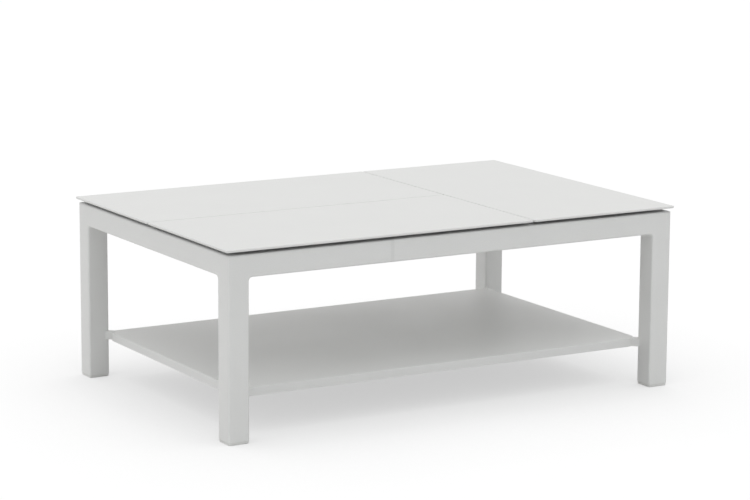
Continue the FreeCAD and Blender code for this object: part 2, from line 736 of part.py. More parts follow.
def makeBases(lift):
    """The two plates on the frame that carry a linkage, each with a stud that stops the raised arm."""
    made = []
    raised = s.armRest + s.armTravel
    stud = s.armWidth / 2 + s.stopRadius + s.stopPlay
    studAlong = s.stopReach * cosine(raised) - stud * sine(raised)
    studUp = s.stopReach * sine(raised) + stud * cosine(raised)
    for sideName, side in SIDES:
        name = "%s_%s_base" % (lift.name, sideName)
        body = newBody(name)
        face = newSketch(body, "YZ_Plane", name + "_outline")
        roundedRectangle(face, -s.baseMargin, -baseBelow, s.pivotSpacing + s.baseMargin, baseAbove,
                         s.baseCorner)
        for along, up in ((0, 0), (s.pivotSpacing, -s.pivotDrop)):
            circle(face, along, up, s.pinRadius + s.pinPlay)
        for along, up in BASE_SCREWS:
            circle(face, along, up, s.screwRadius + s.holePlay)
        pad(body, face, s.baseThickness, side)
        headPlane = side * number(s.baseThickness)
        holeRadius = number(s.screwRadius + s.holePlay)
        dressEdges(body, "Chamfer", name + "_countersinks", s.screwSink,
                   lambda edge: isinstance(edge.Curve, Part.Circle) and nearly(edge.Curve.Radius, holeRadius)
                   and nearly(edge.Curve.Center.x, headPlane))
        post = newSketch(body, "YZ_Plane", name + "_stop")
        circle(post, studAlong, studUp, s.stopRadius)
        pad(body, post, armPlane + s.armThickness, side)
        x, y = lift.spot(side * -lift.half, 0)
        made.append(move(body, x, y, pivotZ, turnZ(lift.turn)))
    return group(lift.name + "_lift_bases", made)


def armBody(name, side, length, farPlay):
    """A flat bar with round ends and a hole for a pivot pin in each."""
    body = newBody(name)
    face = newSketch(body, "YZ_Plane", name + "_outline")
    slot(face, length, s.armWidth / 2)
    circle(face, 0, 0, s.pinRadius + s.pinPlay)
    circle(face, length, 0, s.pinRadius + farPlay)
    pad(body, face, s.armThickness, side)
    return body


def makeArms(lift):
    """Main arms and, behind and below them, the follower arms that keep the leaf level."""
    for sideName, side in SIDES:
        tilt = turnZ(lift.turn).multiply(Rotation(Vector(1, 0, 0), number(s.armRest)))
        plane = side * (armPlane - lift.half)
        main = armBody("%s_%s_main_arm" % (lift.name, sideName), side, lift.armLength, s.pinPlay)
        x, y = lift.spot(plane, 0)
        keep(main.Name, move(main, x, y, pivotZ, tilt))
        name = "%s_%s_follower_arm" % (lift.name, sideName)
        follower = armBody(name, side, lift.armLength, s.openPivotPlay)
        x, y = lift.spot(plane, s.pivotSpacing)
        keep(follower.Name, move(follower, x, y, pivotZ - s.pivotDrop, tilt))


def makeCrossTube(lift):
    """The tube that joins the two main arms on the main pivot's line, with a hole for the spring's tang."""
    name = lift.name + "_cross_tube"
    body = newBody(name)
    section = newSketch(body, "YZ_Plane", name + "_section")
    circle(section, 0, 0, s.crossTubeRadius)
    circle(section, 0, 0, s.crossTubeRadius - s.crossTubeWall)
    pad(body, section, 2 * (lift.half - armPlane - s.armThickness), both=True)
    hole = newSketch(body, "XZ_Plane", name + "_tang_hole")
    circle(hole, springEnd(lift), tangBend, s.wireRadius + s.tangHolePlay)
    pocket(body, hole, s.crossTubeRadius + s.wireRadius, -1)
    x, y = lift.spot(0, 0)
    return keep(name, move(body, x, y, pivotZ, turnZ(lift.turn)))


def makeBrackets(lift):
    """The plates under a leaf that its arms carry, on the inner side of the arms."""
    top = s.pivotHeight + s.plateLift - lift.armRise
    edge, below = s.bracketMargin, s.bracketBelow
    for sideName, side in SIDES:
        name = "%s_%s_bracket" % (lift.name, sideName)
        body = newBody(name)
        face = newSketch(body, "YZ_Plane", name + "_outline")
        outline(face, [
            (-edge, -below), (edge / 2, -below),
            (s.pivotSpacing - edge / 2, -(s.pivotDrop + below)),
            (s.pivotSpacing + edge, -(s.pivotDrop + below)),
            (s.pivotSpacing + edge, top), (-edge, top),
        ])
        for along, up in ((0, 0), (s.pivotSpacing, -s.pivotDrop)):
            circle(face, along, up, s.pinRadius + s.pinPlay)
        pad(body, face, s.bracketThickness, side)
        dressEdges(body, "Fillet", name + "_corners", s.bracketCorner,
                   lambda edge: runsAlong(edge, Vector(1, 0, 0)) and edge.Vertexes[0].Z < 0)
        x, y = lift.spot(side * (bracketPlane - lift.half), lift.armRun)
        keep(name, move(body, x, y, pivotZ + lift.armRise, turnZ(lift.turn)))


def pinBody(name, start, end, headSide):
    """A pivot pin along X from start to end, with its head at the end (1) or at the start (-1)."""
    body = newBody(name)
    shank = newSketch(body, "YZ_Plane", name + "_shank", start)
    circle(shank, 0, 0, s.pinRadius)
    pad(body, shank, end - start)
    head = newSketch(body, "YZ_Plane", name + "_head", end if headSide == 1 else start)
    circle(head, 0, 0, s.pinHead)
    pad(body, head, s.pinHeadHeight, headSide)
    return body


def makePins():
    """The pins of all pivots: those of the frame in one group, and each leaf's own."""
    framePin = pinBody("frame_pin", 0, armPlane + s.armThickness + s.pinHeadGap, 1)
    leafPin = pinBody("leaf_pin", armPlane - s.pinHeadGap, leafRailPlane, -1)
    framePins = []
    for lift in LIFTS:
        leafPins = []
        for sideName, side in SIDES:
            for place, along, down in (("main", 0, 0), ("follower", s.pivotSpacing, s.pivotDrop)):
                name = "%s_%s_%s_pin" % (lift.name, sideName, place)
                x, y = lift.spot(side * -lift.half, along)
                framePins.append(copyAt(framePin, name + "_low", x, y, pivotZ - down, inward(lift, side)))
                x, y = lift.spot(side * -lift.half, lift.armRun + along)
                z = pivotZ + lift.armRise - down
                leafPins.append(copyAt(leafPin, name + "_high", x, y, z, inward(lift, side)))
        group(lift.name + "_pivot_pins", leafPins)
    group("arm_pivot_pins", framePins)


# Leaves

def screwRun(lift):
    """The places of a side rail's three screws, from the main pivot."""
    first, last = railStart + s.leafScrewInset, lift.railEnd - s.leafScrewInset
    return [first, (first + last) / 2, last]


def screwRows(lift):
    """The places of the screws along both side rails of a leaf, in the table's X and Y."""
    for side in (1, -1):
        for along in screwRun(lift):
            yield lift.spot(side * (leafRailPlane + s.leafRailWidth / 2 - lift.half), along)


def makePlate(lift, left, low, right, high):
    """A leaf: a thin plate with soft upper edges, bevelled below, and blind holes for its screws."""
    name = lift.name + "_plate"
    body = newBody(name)
    face = newSketch(body, "XY_Plane", name + "_outline")
    roundedRectangle(face, left, low, right, high, s.plateCorner)
    pad(body, face, s.plateThickness)
    dressEdges(body, "Chamfer", name + "_bevel", s.plateBevel,
               lambda edge: all(nearly(v.Z, 0) for v in edge.Vertexes))
    top = number(s.plateThickness)
    dressEdges(body, "Fillet", name + "_soft_edge", s.plateSoftEdge,
               lambda edge: all(nearly(v.Z, top) for v in edge.Vertexes))
    screws = newSketch(body, "XY_Plane", name + "_screw_holes")
    for x, y in screwRows(lift):
        circle(screws, x, y, s.leafScrewRadius)
    pocket(body, screws, s.leafScrewGrip)
    return keep(name, move(body, 0, 0, plateFloor))


def makeLeafRails(lift):
    """Two side rails, with two cross rails between them."""
    middle = (railStart + lift.railEnd) / 2
    height = plateFloor - s.leafRailHeight / 2
    sideRail = sideRailBody(lift, middle)
    rails = []
    for sideName, side in SIDES:
        x, y = lift.spot(side * (leafRailPlane + s.leafRailWidth / 2 - lift.half), middle)
        name = "%s_%s_rail" % (lift.name, sideName)
        rails.append(copyAt(sideRail, name, x, y, height, turnZ(lift.turn + 90)))
    run = 2 * (lift.half - leafRailPlane - s.leafRailWidth)
    outer, inner = railStart + s.outerCrossInset, lift.railEnd - s.innerCrossInset
    for place, along in (("outer", outer), ("inner", inner)):
        name = "%s_%s_rail" % (lift.name, place)
        rail = tubeBody(name, s.leafRailWidth, s.leafRailHeight, run, s.leafRailWall, s.leafRailCorner)
        x, y = lift.spot(0, along)
        rails.append(move(rail, x, y, height, turnZ(lift.turn)))
    return group(lift.name + "_rails", rails)


def sideRailBody(lift, middle):
    """A side rail with the holes for its screws."""
    name = lift.name + "_side_rail"
    body = tubeBody(name, s.leafRailWidth, s.leafRailHeight, lift.railEnd - railStart, s.leafRailWall,
                    s.leafRailCorner)
    holes = newSketch(body, "XY_Plane", name + "_holes")
    for along in screwRun(lift):
        circle(holes, along - middle, 0, s.leafScrewRadius + s.holePlay)
    pocket(body, holes, s.leafRailHeight + s.overrun, both=True)
    return body


def leafScrewBody():
    """A screw up through a side rail into the plate, its head's seat in the plane z = 0."""
    body = newBody("leaf_screw")
    head = newSketch(body, "XY_Plane", "leaf_screw_head")
    circle(head, 0, 0, s.leafScrewHead)
    pad(body, head, s.leafScrewHeadHeight, -1)
    shank = newSketch(body, "XY_Plane", "leaf_screw_shank")
    circle(shank, 0, 0, s.leafScrewRadius)
    pad(body, shank, s.leafRailHeight + s.leafScrewGrip)
    return body


def makeLeafScrews(lift, screw):
    return group(lift.name + "_screws", [
        copyAt(screw, "%s_screw_%d" % (lift.name, i + 1), x, y, plateFloor - s.leafRailHeight)
        for i, (x, y) in enumerate(screwRows(lift))
    ])


# Lift springs

tangBend = 2 * s.wireRadius


def springStart(lift):
    return s.springInset - lift.half


def springEnd(lift):
    """Where along the pivots the coil's tang enters the cross tube."""
    return springStart(lift) + (COIL_TURNS + 0.25) * s.coilPitch


def arcFrom(start, tangentPoint, end):
    """The arc from start to end whose end tangents meet at tangentPoint."""
    middle = (start + end) * 0.5
    sideways = (end - start).Length / 2
    slope = (tangentPoint - start).Length
    cosineHere = sideways / slope
    return Part.Arc(start, middle + (tangentPoint - middle) * (cosineHere / (1 + cosineHere)), end)


def biarc(start, startTangent, end, endTangent):
    """Two arcs that leave start and reach end along the given unit tangents."""
    chord = end - start
    both = startTangent + endTangent
    a = 2 * (1 - startTangent.dot(endTangent))
    b = chord.dot(both)
    c = chord.dot(chord)
    reach = c / (b + math.sqrt(b * b + a * c))
    first = start + startTangent * reach
    last = end - endTangent * reach
    joint = (first + last) * 0.5
    return [arcFrom(start, first, joint), arcFrom(joint, last, end)]


def springPath(lift):
    """The wire's path in the linkage's own axes: a straight leg, the coil, and a tang into the tube."""
    radius, pitch, bend = number(s.coilRadius), number(s.coilPitch), number(tangBend)
    x0 = number(springStart(lift))
    slope = math.hypot(2 * math.pi * radius, pitch)
    quarters = 4 * COIL_TURNS + 1

    def at(quarter):
        angle = math.pi / 2 * (quarter - 1)
        place = Vector(x0 + pitch * quarter / 4, radius * math.cos(angle), radius * math.sin(angle))
        turn = 2 * math.pi * radius / slope
        return place, Vector(pitch / slope, -math.sin(angle) * turn, math.cos(angle) * turn)

    legEnd = Vector(x0, -number(s.springLeg), -radius)
    place, tangent = Vector(x0, 0, -radius), Vector(0, 1, 0)
    edges = [Part.LineSegment(legEnd, place)]
    for quarter in range(1, quarters + 1):
        after, afterTangent = at(quarter)
        if quarter == quarters:
            afterTangent = Vector(0, 0, 1)
        edges += biarc(place, tangent, after, afterTangent)
        place, tangent = after, afterTangent
    corner = place + Vector(0, 0, bend)
    tang = corner - Vector(0, bend, 0)
    edges.append(arcFrom(place, corner, tang))
    edges.append(Part.LineSegment(tang, tang - Vector(0, number(s.springTang), 0)))
    return Part.Wire([edge.toShape() for edge in edges])


def leastSelfGap(wire):
    """The least gap between stretches of the wire that lie more than half a turn apart."""
    points = wire.discretize(Number=60 * COIL_TURNS)
    step = wire.Length / (len(points) - 1)
    apart = int(math.pi * number(s.coilRadius) / step)
    least = min((a - b).Length for i, a in enumerate(points) for b in points[i + apart:])
    return least - 2 * number(s.wireRadius)


def makeSpring(lift):
    """The torsion spring round the cross tube that helps the leaf up."""
    wire = springPath(lift)
    start = wire.OrderedVertexes[0].Point
    section = Part.Wire([Part.makeCircle(number(s.wireRadius), start, Vector(0, 1, 0))])
    spring = doc.addObject("Part::Feature", lift.name + "_lift_spring")
    spring.Shape = wire.makePipeShell([section], True, False)
    x, y = lift.spot(0, 0)
    move(spring, x, y, pivotZ, turnZ(lift.turn))
    print("%s least self gap %.2f mm" % (spring.Name, leastSelfGap(wire)))
    return keep(spring.Name, spring)


def anchorLow():
    return s.wireRadius + s.anchorPlay - s.coilRadius


def anchorScrewUp():
    return anchorLow() + s.anchorHeight - s.anchorScrewInset


def makeAnchors(hole):
    """An angle on the apron that the straight leg of each spring bears up against."""
    body = newBody("spring_anchor")
    face = newSketch(body, "YZ_Plane", "spring_anchor_outline")
    low = anchorLow()
    back = -s.pivotInset
    outline(face, [
        (back, low), (back + s.anchorReach, low), (back + s.anchorReach, low + s.anchorSheet),
        (back + s.anchorSheet, low + s.anchorSheet), (back + s.anchorSheet, low + s.anchorHeight),
        (back, low + s.anchorHeight),
    ])
    pad(body, face, s.anchorWidth, both=True)
    bore = newSketch(body, "XZ_Plane", "spring_anchor_hole")
    circle(bore, 0, anchorScrewUp(), s.screwRadius + s.holePlay)
    pocket(body, bore, s.pivotInset + s.overrun)
    headPlane = number(back + s.anchorSheet)
    dressEdges(body, "Chamfer", "spring_anchor_countersink", s.screwSink,
               lambda edge: isinstance(edge.Curve, Part.Circle) and nearly(edge.Curve.Center.y, headPlane))
    anchors = []
    for lift in LIFTS:
        x, y = lift.spot(springStart(lift), 0)
        anchors.append(copyAt(body, lift.name + "_anchor", x, y, pivotZ, turnZ(lift.turn)))
    return group("spring_anchors", anchors)


# Rests

def makeRests():
    """Rubber rests on the frame that the closed leaves lie on."""
    rest = bind(doc.addObject("Part::Cylinder", "rest"), Radius=s.restRadius, Height=s.plateLift)
    frontX = [s.restInset - innerHalfLength, crossRailLeft - s.restInset]
    endY = innerHalfDepth - s.restInset
    seatX, seatY = innerHalfLength + s.restEdge, innerHalfDepth + s.restEdge
    places = [(x, side * seatY) for side in (-1, 1) for x in frontX]
    places += [(-seatX, side * s.restBack) for side in (-1, 1)]
    places += [(crossRailLeft + s.restSeat, side * s.restBack) for side in (-1, 1)]
    places += [(x, side * endY) for side in (-1, 1) for x in (seatX, crossRailRight - s.restSeat)]
    return group("leaf_rests", [
        copyAt(rest, "leaf_rest_%d" % (i + 1), x, y, frameTop) for i, (x, y) in enumerate(places)
    ])


# Build

for cornerName, sx, sy in CORNERS:
    makeLeg(cornerName, sx, sy)
makeGlides()

screw = countersunkScrew()
hole = screwHole()
screws = []
screwHoles = {"front_apron": [], "rear_apron": [], "left_apron": [], "right_apron": [], "cross_rail": []}
carriers = {
    "front_leaf": ("left_apron", "cross_rail", "front_apron"),
    "rear_leaf": ("cross_rail", "left_apron", "rear_apron"),
    "end_leaf": ("front_apron", "rear_apron", "right_apron"),
}
for lift in LIFTS:
    for (sideName, side), carrier in zip(SIDES, carriers[lift.name]):
        for i, (along, up) in enumerate(BASE_SCREWS):
            name = "%s_%s_screw_%d" % (lift.name, sideName, i + 1)
            x, y = lift.spot(side * (s.baseThickness - lift.half), along)
            screws.append(copyAt(screw, name, x, y, pivotZ + up, inward(lift, side)))
            screwHoles[carrier].append(copyAt(hole, name + "_hole", x, y, pivotZ + up, inward(lift, side)))
    x, y = lift.spot(springStart(lift), s.anchorSheet - s.pivotInset)
    name = lift.name + "_anchor_screw"
    screws.append(copyAt(screw, name, x, y, pivotZ + anchorScrewUp(), turnZ(lift.turn + 90)))
    screwHoles[carriers[lift.name][2]].append(
        copyAt(hole, name + "_hole", x, y, pivotZ + anchorScrewUp(), turnZ(lift.turn + 90)))

for name, halfRun, x, y, turn in (
    ("front", innerHalfLength, 0, -legY, 0), ("rear", innerHalfLength, 0, legY, 0),
    ("left", innerHalfDepth, -legX, 0, 90), ("right", innerHalfDepth, legX, 0, 90),
):
    corners = [corner for corner, sx, sy in CORNERS if name in corner]
    holes = [legHoles[corner] for corner in corners]
    if turn:
        holes += [cornerHoles[corner] for corner in corners]
    makeApron(name + "_apron", halfRun, x, y, turn, holes + screwHoles[name + "_apron"])
makeRail("cross_rail", s.crossRailWidth, innerHalfDepth, seamX, 0, 90, screwHoles["cross_rail"])
makeRail("centre_rail", s.centreRailWidth, longBayHalf, longBayMiddle, 0, 0, [])

boltHoles = boltHole()
makeShelf(diagonalCopies(boltHoles, "shelf_bolt_hole"))
makeShelfRibs()
makeLugs(boltHoles)
makeShelfBolts()

halfLength, halfDepth, halfGap = s.tableLength / 2, s.tableDepth / 2, s.leafGap / 2
PLATES = {
    "front_leaf": (-halfLength, -halfDepth, seamX - halfGap, -halfGap),
    "rear_leaf": (-halfLength, halfGap, seamX - halfGap, halfDepth),
    "end_leaf": (seamX + halfGap, -halfDepth, halfLength, halfDepth),
}
leafScrew = leafScrewBody()
for lift in LIFTS:
    makeBases(lift)
    makeArms(lift)
    makeCrossTube(lift)
    makeBrackets(lift)
    makePlate(lift, *PLATES[lift.name])
    makeLeafRails(lift)
    makeLeafScrews(lift, leafScrew)
    makeSpring(lift)
makePins()
makeAnchors(hole)
makeRests()
group("base_screws", screws)

# Checks and export

doc.recompute()
for thing in doc.Objects:
    if "Invalid" in thing.State or "Error" in thing.State:
        raise RuntimeError("%s failed: %s" % (thing.Label, thing.State))
for name, thing in nodes.items():
    if thing.Shape.isNull() or not thing.Shape.isValid():
        raise RuntimeError("%s has no valid shape" % name)
os.makedirs("parts", exist_ok=True)
for name, thing in nodes.items():
    thing.Shape.exportStep("parts/%s.step" % name)
print("nodes", len(nodes), "solids", sum(len(thing.Shape.Solids) for thing in nodes.values()))
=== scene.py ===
import json
import math
import bmesh
import bpy
from mathutils import Matrix, Vector


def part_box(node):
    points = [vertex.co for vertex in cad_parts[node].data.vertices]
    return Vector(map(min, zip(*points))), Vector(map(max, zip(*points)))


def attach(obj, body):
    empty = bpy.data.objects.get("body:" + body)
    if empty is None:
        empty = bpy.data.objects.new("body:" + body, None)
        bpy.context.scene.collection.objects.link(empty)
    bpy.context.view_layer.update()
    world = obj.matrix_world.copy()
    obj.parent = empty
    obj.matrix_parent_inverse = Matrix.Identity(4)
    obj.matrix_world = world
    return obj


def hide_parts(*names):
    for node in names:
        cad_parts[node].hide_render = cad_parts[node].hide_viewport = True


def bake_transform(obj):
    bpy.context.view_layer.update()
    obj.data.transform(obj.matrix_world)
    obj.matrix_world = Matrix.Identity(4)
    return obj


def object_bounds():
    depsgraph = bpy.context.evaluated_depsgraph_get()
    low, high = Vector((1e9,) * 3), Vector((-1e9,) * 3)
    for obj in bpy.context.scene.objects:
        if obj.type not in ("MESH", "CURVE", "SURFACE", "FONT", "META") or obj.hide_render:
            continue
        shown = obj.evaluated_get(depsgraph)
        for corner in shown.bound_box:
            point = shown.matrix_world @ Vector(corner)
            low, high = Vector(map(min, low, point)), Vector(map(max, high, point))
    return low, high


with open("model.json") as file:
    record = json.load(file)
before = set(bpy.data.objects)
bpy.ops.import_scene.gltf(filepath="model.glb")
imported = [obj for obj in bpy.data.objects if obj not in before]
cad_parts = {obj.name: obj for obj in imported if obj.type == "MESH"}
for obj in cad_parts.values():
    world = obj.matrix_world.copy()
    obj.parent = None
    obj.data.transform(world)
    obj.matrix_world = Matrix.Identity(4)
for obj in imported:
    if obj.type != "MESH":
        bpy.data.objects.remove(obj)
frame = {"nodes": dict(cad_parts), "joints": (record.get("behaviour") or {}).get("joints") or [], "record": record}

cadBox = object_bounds()
cadNodes = frame["nodes"]
leaves = ("front_leaf", "rear_leaf", "end_leaf")
print("stage: frame loaded,", len(cadNodes), "nodes")


# Node helpers for the finishes and the sky

def calc(tree, operation, *values):
    node = tree.nodes.new("ShaderNodeMath")
    node.operation = operation
    for socket, value in zip(node.inputs, values):
        if isinstance(value, (int, float)):
            socket.default_value = value
        else:
            tree.links.new(value, socket)
    return node.outputs[0]


def noiseAt(tree, where, scale, detail=2.0):
    node = tree.nodes.new("ShaderNodeTexNoise")
    node.inputs["Scale"].default_value = scale
    node.inputs["Detail"].default_value = detail
    tree.links.new(where, node.inputs["Vector"])
    return node.outputs["Fac"]


def spread(tree, value, low, high, toLow, toHigh):
    node = tree.nodes.new("ShaderNodeMapRange")
    for name, number in (("From Min", low), ("From Max", high), ("To Min", toLow), ("To Max", toHigh)):
        node.inputs[name].default_value = number
    tree.links.new(value, node.inputs["Value"])
    return node.outputs["Result"]


def tint(tree, fac, first, second):
    node = tree.nodes.new("ShaderNodeMix")
    node.data_type = "RGBA"
    for name, color in (("A", first), ("B", second)):
        if isinstance(color, tuple):
            node.inputs[name].default_value = (*color, 1)
        else:
            tree.links.new(color, node.inputs[name])
    tree.links.new(fac, node.inputs["Factor"])
    return node.outputs["Result"]


def bumped(tree, shader, height, strength, distance):
    node = tree.nodes.new("ShaderNodeBump")
    node.inputs["Strength"].default_value = strength
    node.inputs["Distance"].default_value = distance
    tree.links.new(height, node.inputs["Height"])
    tree.links.new(node.outputs["Normal"], shader.inputs["Normal"])


def newFinish(name):
    material = bpy.data.materials.new(name)
    material.use_nodes = True
    tree = material.node_tree
    shader = tree.nodes["Principled BSDF"]
    where = tree.nodes.new("ShaderNodeTexCoord").outputs["Object"]
    return material, tree, shader, where


def scaled(color, factor):
    return tuple(channel * factor for channel in color)


# Powder coat of the frame, shelf and leaves

coat = {
    "color": (0.800, 0.799, 0.786),
    "cloud": 0.012,         # share by which the colour drifts over a hand's width
    "cloudScale": 7.0,
    "speck": 0.035,         # share by which single grains differ
    "speckScale": 2400.0,
    "grainScale": 1500.0,   # fine texture of the coat
    "peelScale": 300.0,     # slow waves under it
    "grainDepth": 0.00010,
    "bump": 0.35,
    "roughness": (0.50, 0.60),
    "specular": 0.35,
}
shelfCoat = dict(coat, roughness=(0.42, 0.50), specular=0.30)   # it mirrors the rear leg a little
plateCoat = dict(coat, gapShade=(0.46, 0.46, 0.46), rim=0.056)    # painted shade: a grey band on the plates' undersides over the frame, to darken the gap under them


def gapShadeMask(tree, where):
    # the underside of a plate where it lies over the frame: where the painted shade of the gap goes
    place, facing = tree.nodes.new("ShaderNodeSeparateXYZ"), tree.nodes.new("ShaderNodeSeparateXYZ")
    tree.links.new(where, place.inputs["Vector"])
    tree.links.new(where.node.outputs["Normal"], facing.inputs["Vector"])
    low, high = cadBox
    past = [
        calc(tree, "SUBTRACT", calc(tree, "ABSOLUTE", place.outputs[axis]), high[k] - plateCoat["rim"])
        for k, axis in enumerate("XY")
    ]
    rim = spread(tree, calc(tree, "MAXIMUM", *past), 0, 0.001, 0, 1)
    return calc(tree, "MULTIPLY", rim, spread(tree, facing.outputs["Z"], -0.9, -0.7, 1, 0))


def powderCoat(name, look, mark=None):
    material, tree, shader, where = newFinish(name)
    cloud = noiseAt(tree, where, look["cloudScale"], 3.0)
    speck = noiseAt(tree, where, look["speckScale"], 1.0)
    light = calc(tree, "ADD", spread(tree, cloud, 0.3, 0.7, -look["cloud"], look["cloud"]),
                 spread(tree, speck, 0.3, 0.7, -look["speck"], look["speck"]))
    if mark:   # a faint darker vertical band across the coat at a given x
        side = tree.nodes.new("ShaderNodeSeparateXYZ")
        tree.links.new(where, side.inputs["Vector"])
        away = calc(tree, "ABSOLUTE", calc(tree, "SUBTRACT", side.outputs["X"], mark["place"]))
        darker = spread(tree, away, mark["width"] / 2, mark["width"], -mark["shade"], 0)
        light = calc(tree, "ADD", light, darker)
    shade = spread(tree, light, -0.1, 0.1, 0, 1)
    color = tint(tree, shade, scaled(look["color"], 0.9), scaled(look["color"], 1.1))
    # painted shade: the plates' undersides over the frame turn grey, so the gap between plate and frame looks
    # darker
    if "gapShade" in look:
        gapShadeTint = tint(tree, shade, scaled(look["gapShade"], 0.85), scaled(look["gapShade"], 1.15))
        color = tint(tree, gapShadeMask(tree, where), color, gapShadeTint)
    tree.links.new(color, shader.inputs["Base Color"])
    tree.links.new(spread(tree, cloud, 0.35, 0.65, *look["roughness"]), shader.inputs["Roughness"])
    shader.inputs["Specular IOR Level"].default_value = look["specular"]
    peel = noiseAt(tree, where, look["peelScale"], 1.0)
    grain = noiseAt(tree, where, look["grainScale"], 2.0)
    bumped(tree, shader, calc(tree, "ADD", grain, peel), look["bump"], look["grainDepth"])
    return material


# Metals of the linkage

zinc = {"color": (0.56, 0.57, 0.57), "roughness": (0.28, 0.42), "drift": 0.10, "scale": 55.0}
pinSteel = {"color": (0.50, 0.50, 0.51), "roughness": (0.22, 0.32), "drift": 0.06, "scale": 160.0}
springWire = {"color": (0.23, 0.23, 0.24), "roughness": (0.30, 0.45), "drift": 0.12, "scale": 220.0}
metalGrain = {"scale": 1800.0, "bump": 0.12, "depth": 0.00005}


def bareMetal(name, look):
    material, tree, shader, where = newFinish(name)
    patch = noiseAt(tree, where, look["scale"], 4.0)
    low, high = scaled(look["color"], 1 - look["drift"]), scaled(look["color"], 1 + look["drift"])
    color = tint(tree, spread(tree, patch, 0.35, 0.65, 0, 1), low, high)
    tree.links.new(color, shader.inputs["Base Color"])
    tree.links.new(spread(tree, patch, 0.3, 0.7, *look["roughness"]), shader.inputs["Roughness"])
    shader.inputs["Metallic"].default_value = 1.0
    grain = noiseAt(tree, where, metalGrain["scale"], 3.0)
    bumped(tree, shader, grain, metalGrain["bump"], metalGrain["depth"])
    return material


# Rubber rests and plastic glides

restRubber = {"color": (0.055, 0.055, 0.056), "roughness": (0.62, 0.78),
              "grain": 1300.0, "depth": 0.00012}
glidePlastic = {"color": (0.74, 0.74, 0.72), "roughness": (0.42, 0.52),
                "grain": 900.0, "depth": 0.00006}
moulding = {"cloudScale": 45.0, "dark": 0.93, "light": 1.07, "bump": 0.4}


def moulded(name, look):
    material, tree, shader, where = newFinish(name)
    cloud = noiseAt(tree, where, moulding["cloudScale"], 3.0)
    low, high = scaled(look["color"], moulding["dark"]), scaled(look["color"], moulding["light"])
    tree.links.new(tint(tree, cloud, low, high), shader.inputs["Base Color"])
    tree.links.new(spread(tree, cloud, 0.3, 0.7, *look["roughness"]), shader.inputs["Roughness"])
    bumped(tree, shader, noiseAt(tree, where, look["grain"], 3.0), moulding["bump"], look["depth"])
    return material


finishes = {
    "frame_coat": powderCoat("frame_coat_finish", coat),
    "plate_coat": powderCoat("plate_coat_finish", plateCoat),
    "shelf_coat": powderCoat("shelf_coat_finish", shelfCoat),
    "rail_coat": powderCoat("rail_coat_finish", coat),
    "glide_plastic": moulded("glide_plastic_finish", glidePlastic),
    "rest_rubber": moulded("rest_rubber_finish", restRubber),
    "mechanism_steel": bareMetal("mechanism_steel_finish", zinc),
    "bolt_steel": bareMetal("bolt_steel_finish", pinSteel),
    "spring_steel": bareMetal("spring_steel_finish", springWire),
}
slotOf = {entry["node"]: entry["material_slot"] for entry in frame["record"]["subparts"]}
for name, node in cadNodes.items():
    for i in range(len(node.material_slots)):
        node.material_slots[i].material = finishes[slotOf[name]]
apronMark = {"place": -0.178, "width": 0.006, "shade": 0.06}
cadNodes["front_apron"].material_slots[0].material = powderCoat("front_apron_finish", coat, apronMark)
print("stage: finishes made,", len(finishes))


# Mesh helpers: rings of points skinned into bodies

def skin(bm, rings, joined=False):
    loops = [[bm.verts.new(point) for point in ring] for ring in rings]
    pairs = list(zip(loops, loops[1:]))
    if joined:
        pairs.append((loops[-1], loops[0]))
    else:
        bm.faces.new(loops[0][::-1])
        bm.faces.new(loops[-1])
    for one, other in pairs:
        for i in range(len(one)):
            j = (i + 1) % len(one)
            bm.faces.new((one[i], one[j], other[j], other[i]))


def turned(bm, profile, seat, axis, sides=36, joined=False):
    # profile: distance out along the axis, radius, and whether that ring is round or a hexagon
    across = axis.orthogonal().normalized()
    other = axis.cross(across)
    rings = []
    for out, radius, shape in profile:
        ring = []
        for i in range(sides):
            angle = math.tau * i / sides
            reach = radius
            if shape == "hex":
                reach = radius / math.cos(angle % (math.pi / 3) - math.pi / 6)
            outward = across * math.cos(angle) + other * math.sin(angle)
            ring.append(seat + axis * out + outward * reach)
        rings.append(ring)
    skin(bm, rings, joined)


def drawn(bm, path, radii, sides=12):
    # a wire along the path, its section carried along without twist
    ahead = (path[1] - path[0]).normalized()
    across = ahead.orthogonal().normalized()
    rings = []
    for i, (point, radius) in enumerate(zip(path, radii)):
        ahead = (path[min(i + 1, len(path) - 1)] - path[max(i - 1, 0)]).normalized()
        across = (across - ahead * across.dot(ahead)).normalized()
        other = ahead.cross(across)
        rings.append([
            point + (across * math.cos(turn) + other * math.sin(turn)) * radius
            for turn in (math.tau * k / sides for k in range(sides))
        ])
    skin(bm, rings)


def newPiece(name, bm, finish, body=None, sharp=35):
    bmesh.ops.recalc_face_normals(bm, faces=bm.faces)
    mesh = bpy.data.meshes.new(name)
    bm.to_mesh(mesh)
    bm.free()
    mesh.shade_smooth()
    mesh.set_sharp_from_angle(angle=math.radians(sharp))
    mesh.materials.append(finishes[finish])
    piece = bpy.data.objects.new(name, mesh)
    bpy.context.scene.collection.objects.link(piece)
    if body:
        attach(piece, body)
    return piece


def solidsOf(name):
    # the separate solids of a node, each as a list of its points
    mesh = cadNodes[name].data
    keys = [tuple(round(value * 1e5) for value in vertex.co) for vertex in mesh.vertices]
    leader = {key: key for key in keys}

    def lead(key):
        while leader[key] != key:
            leader[key] = leader[leader[key]]
            key = leader[key]
        return key

    for face in mesh.polygons:
        first = lead(keys[face.vertices[0]])
        for index in face.vertices[1:]:
            leader[lead(keys[index])] = first
    solids = {}
    for key, vertex in zip(keys, mesh.vertices):
        solids.setdefault(lead(key), []).append(vertex.co.copy())
    return list(solids.values())


def cornersOf(points):
    return (Vector([min(point[k] for point in points) for k in range(3)]),
            Vector([max(point[k] for point in points) for k in range(3)]))


endShare = 0.06   # points within this share of a solid's length belong to its end


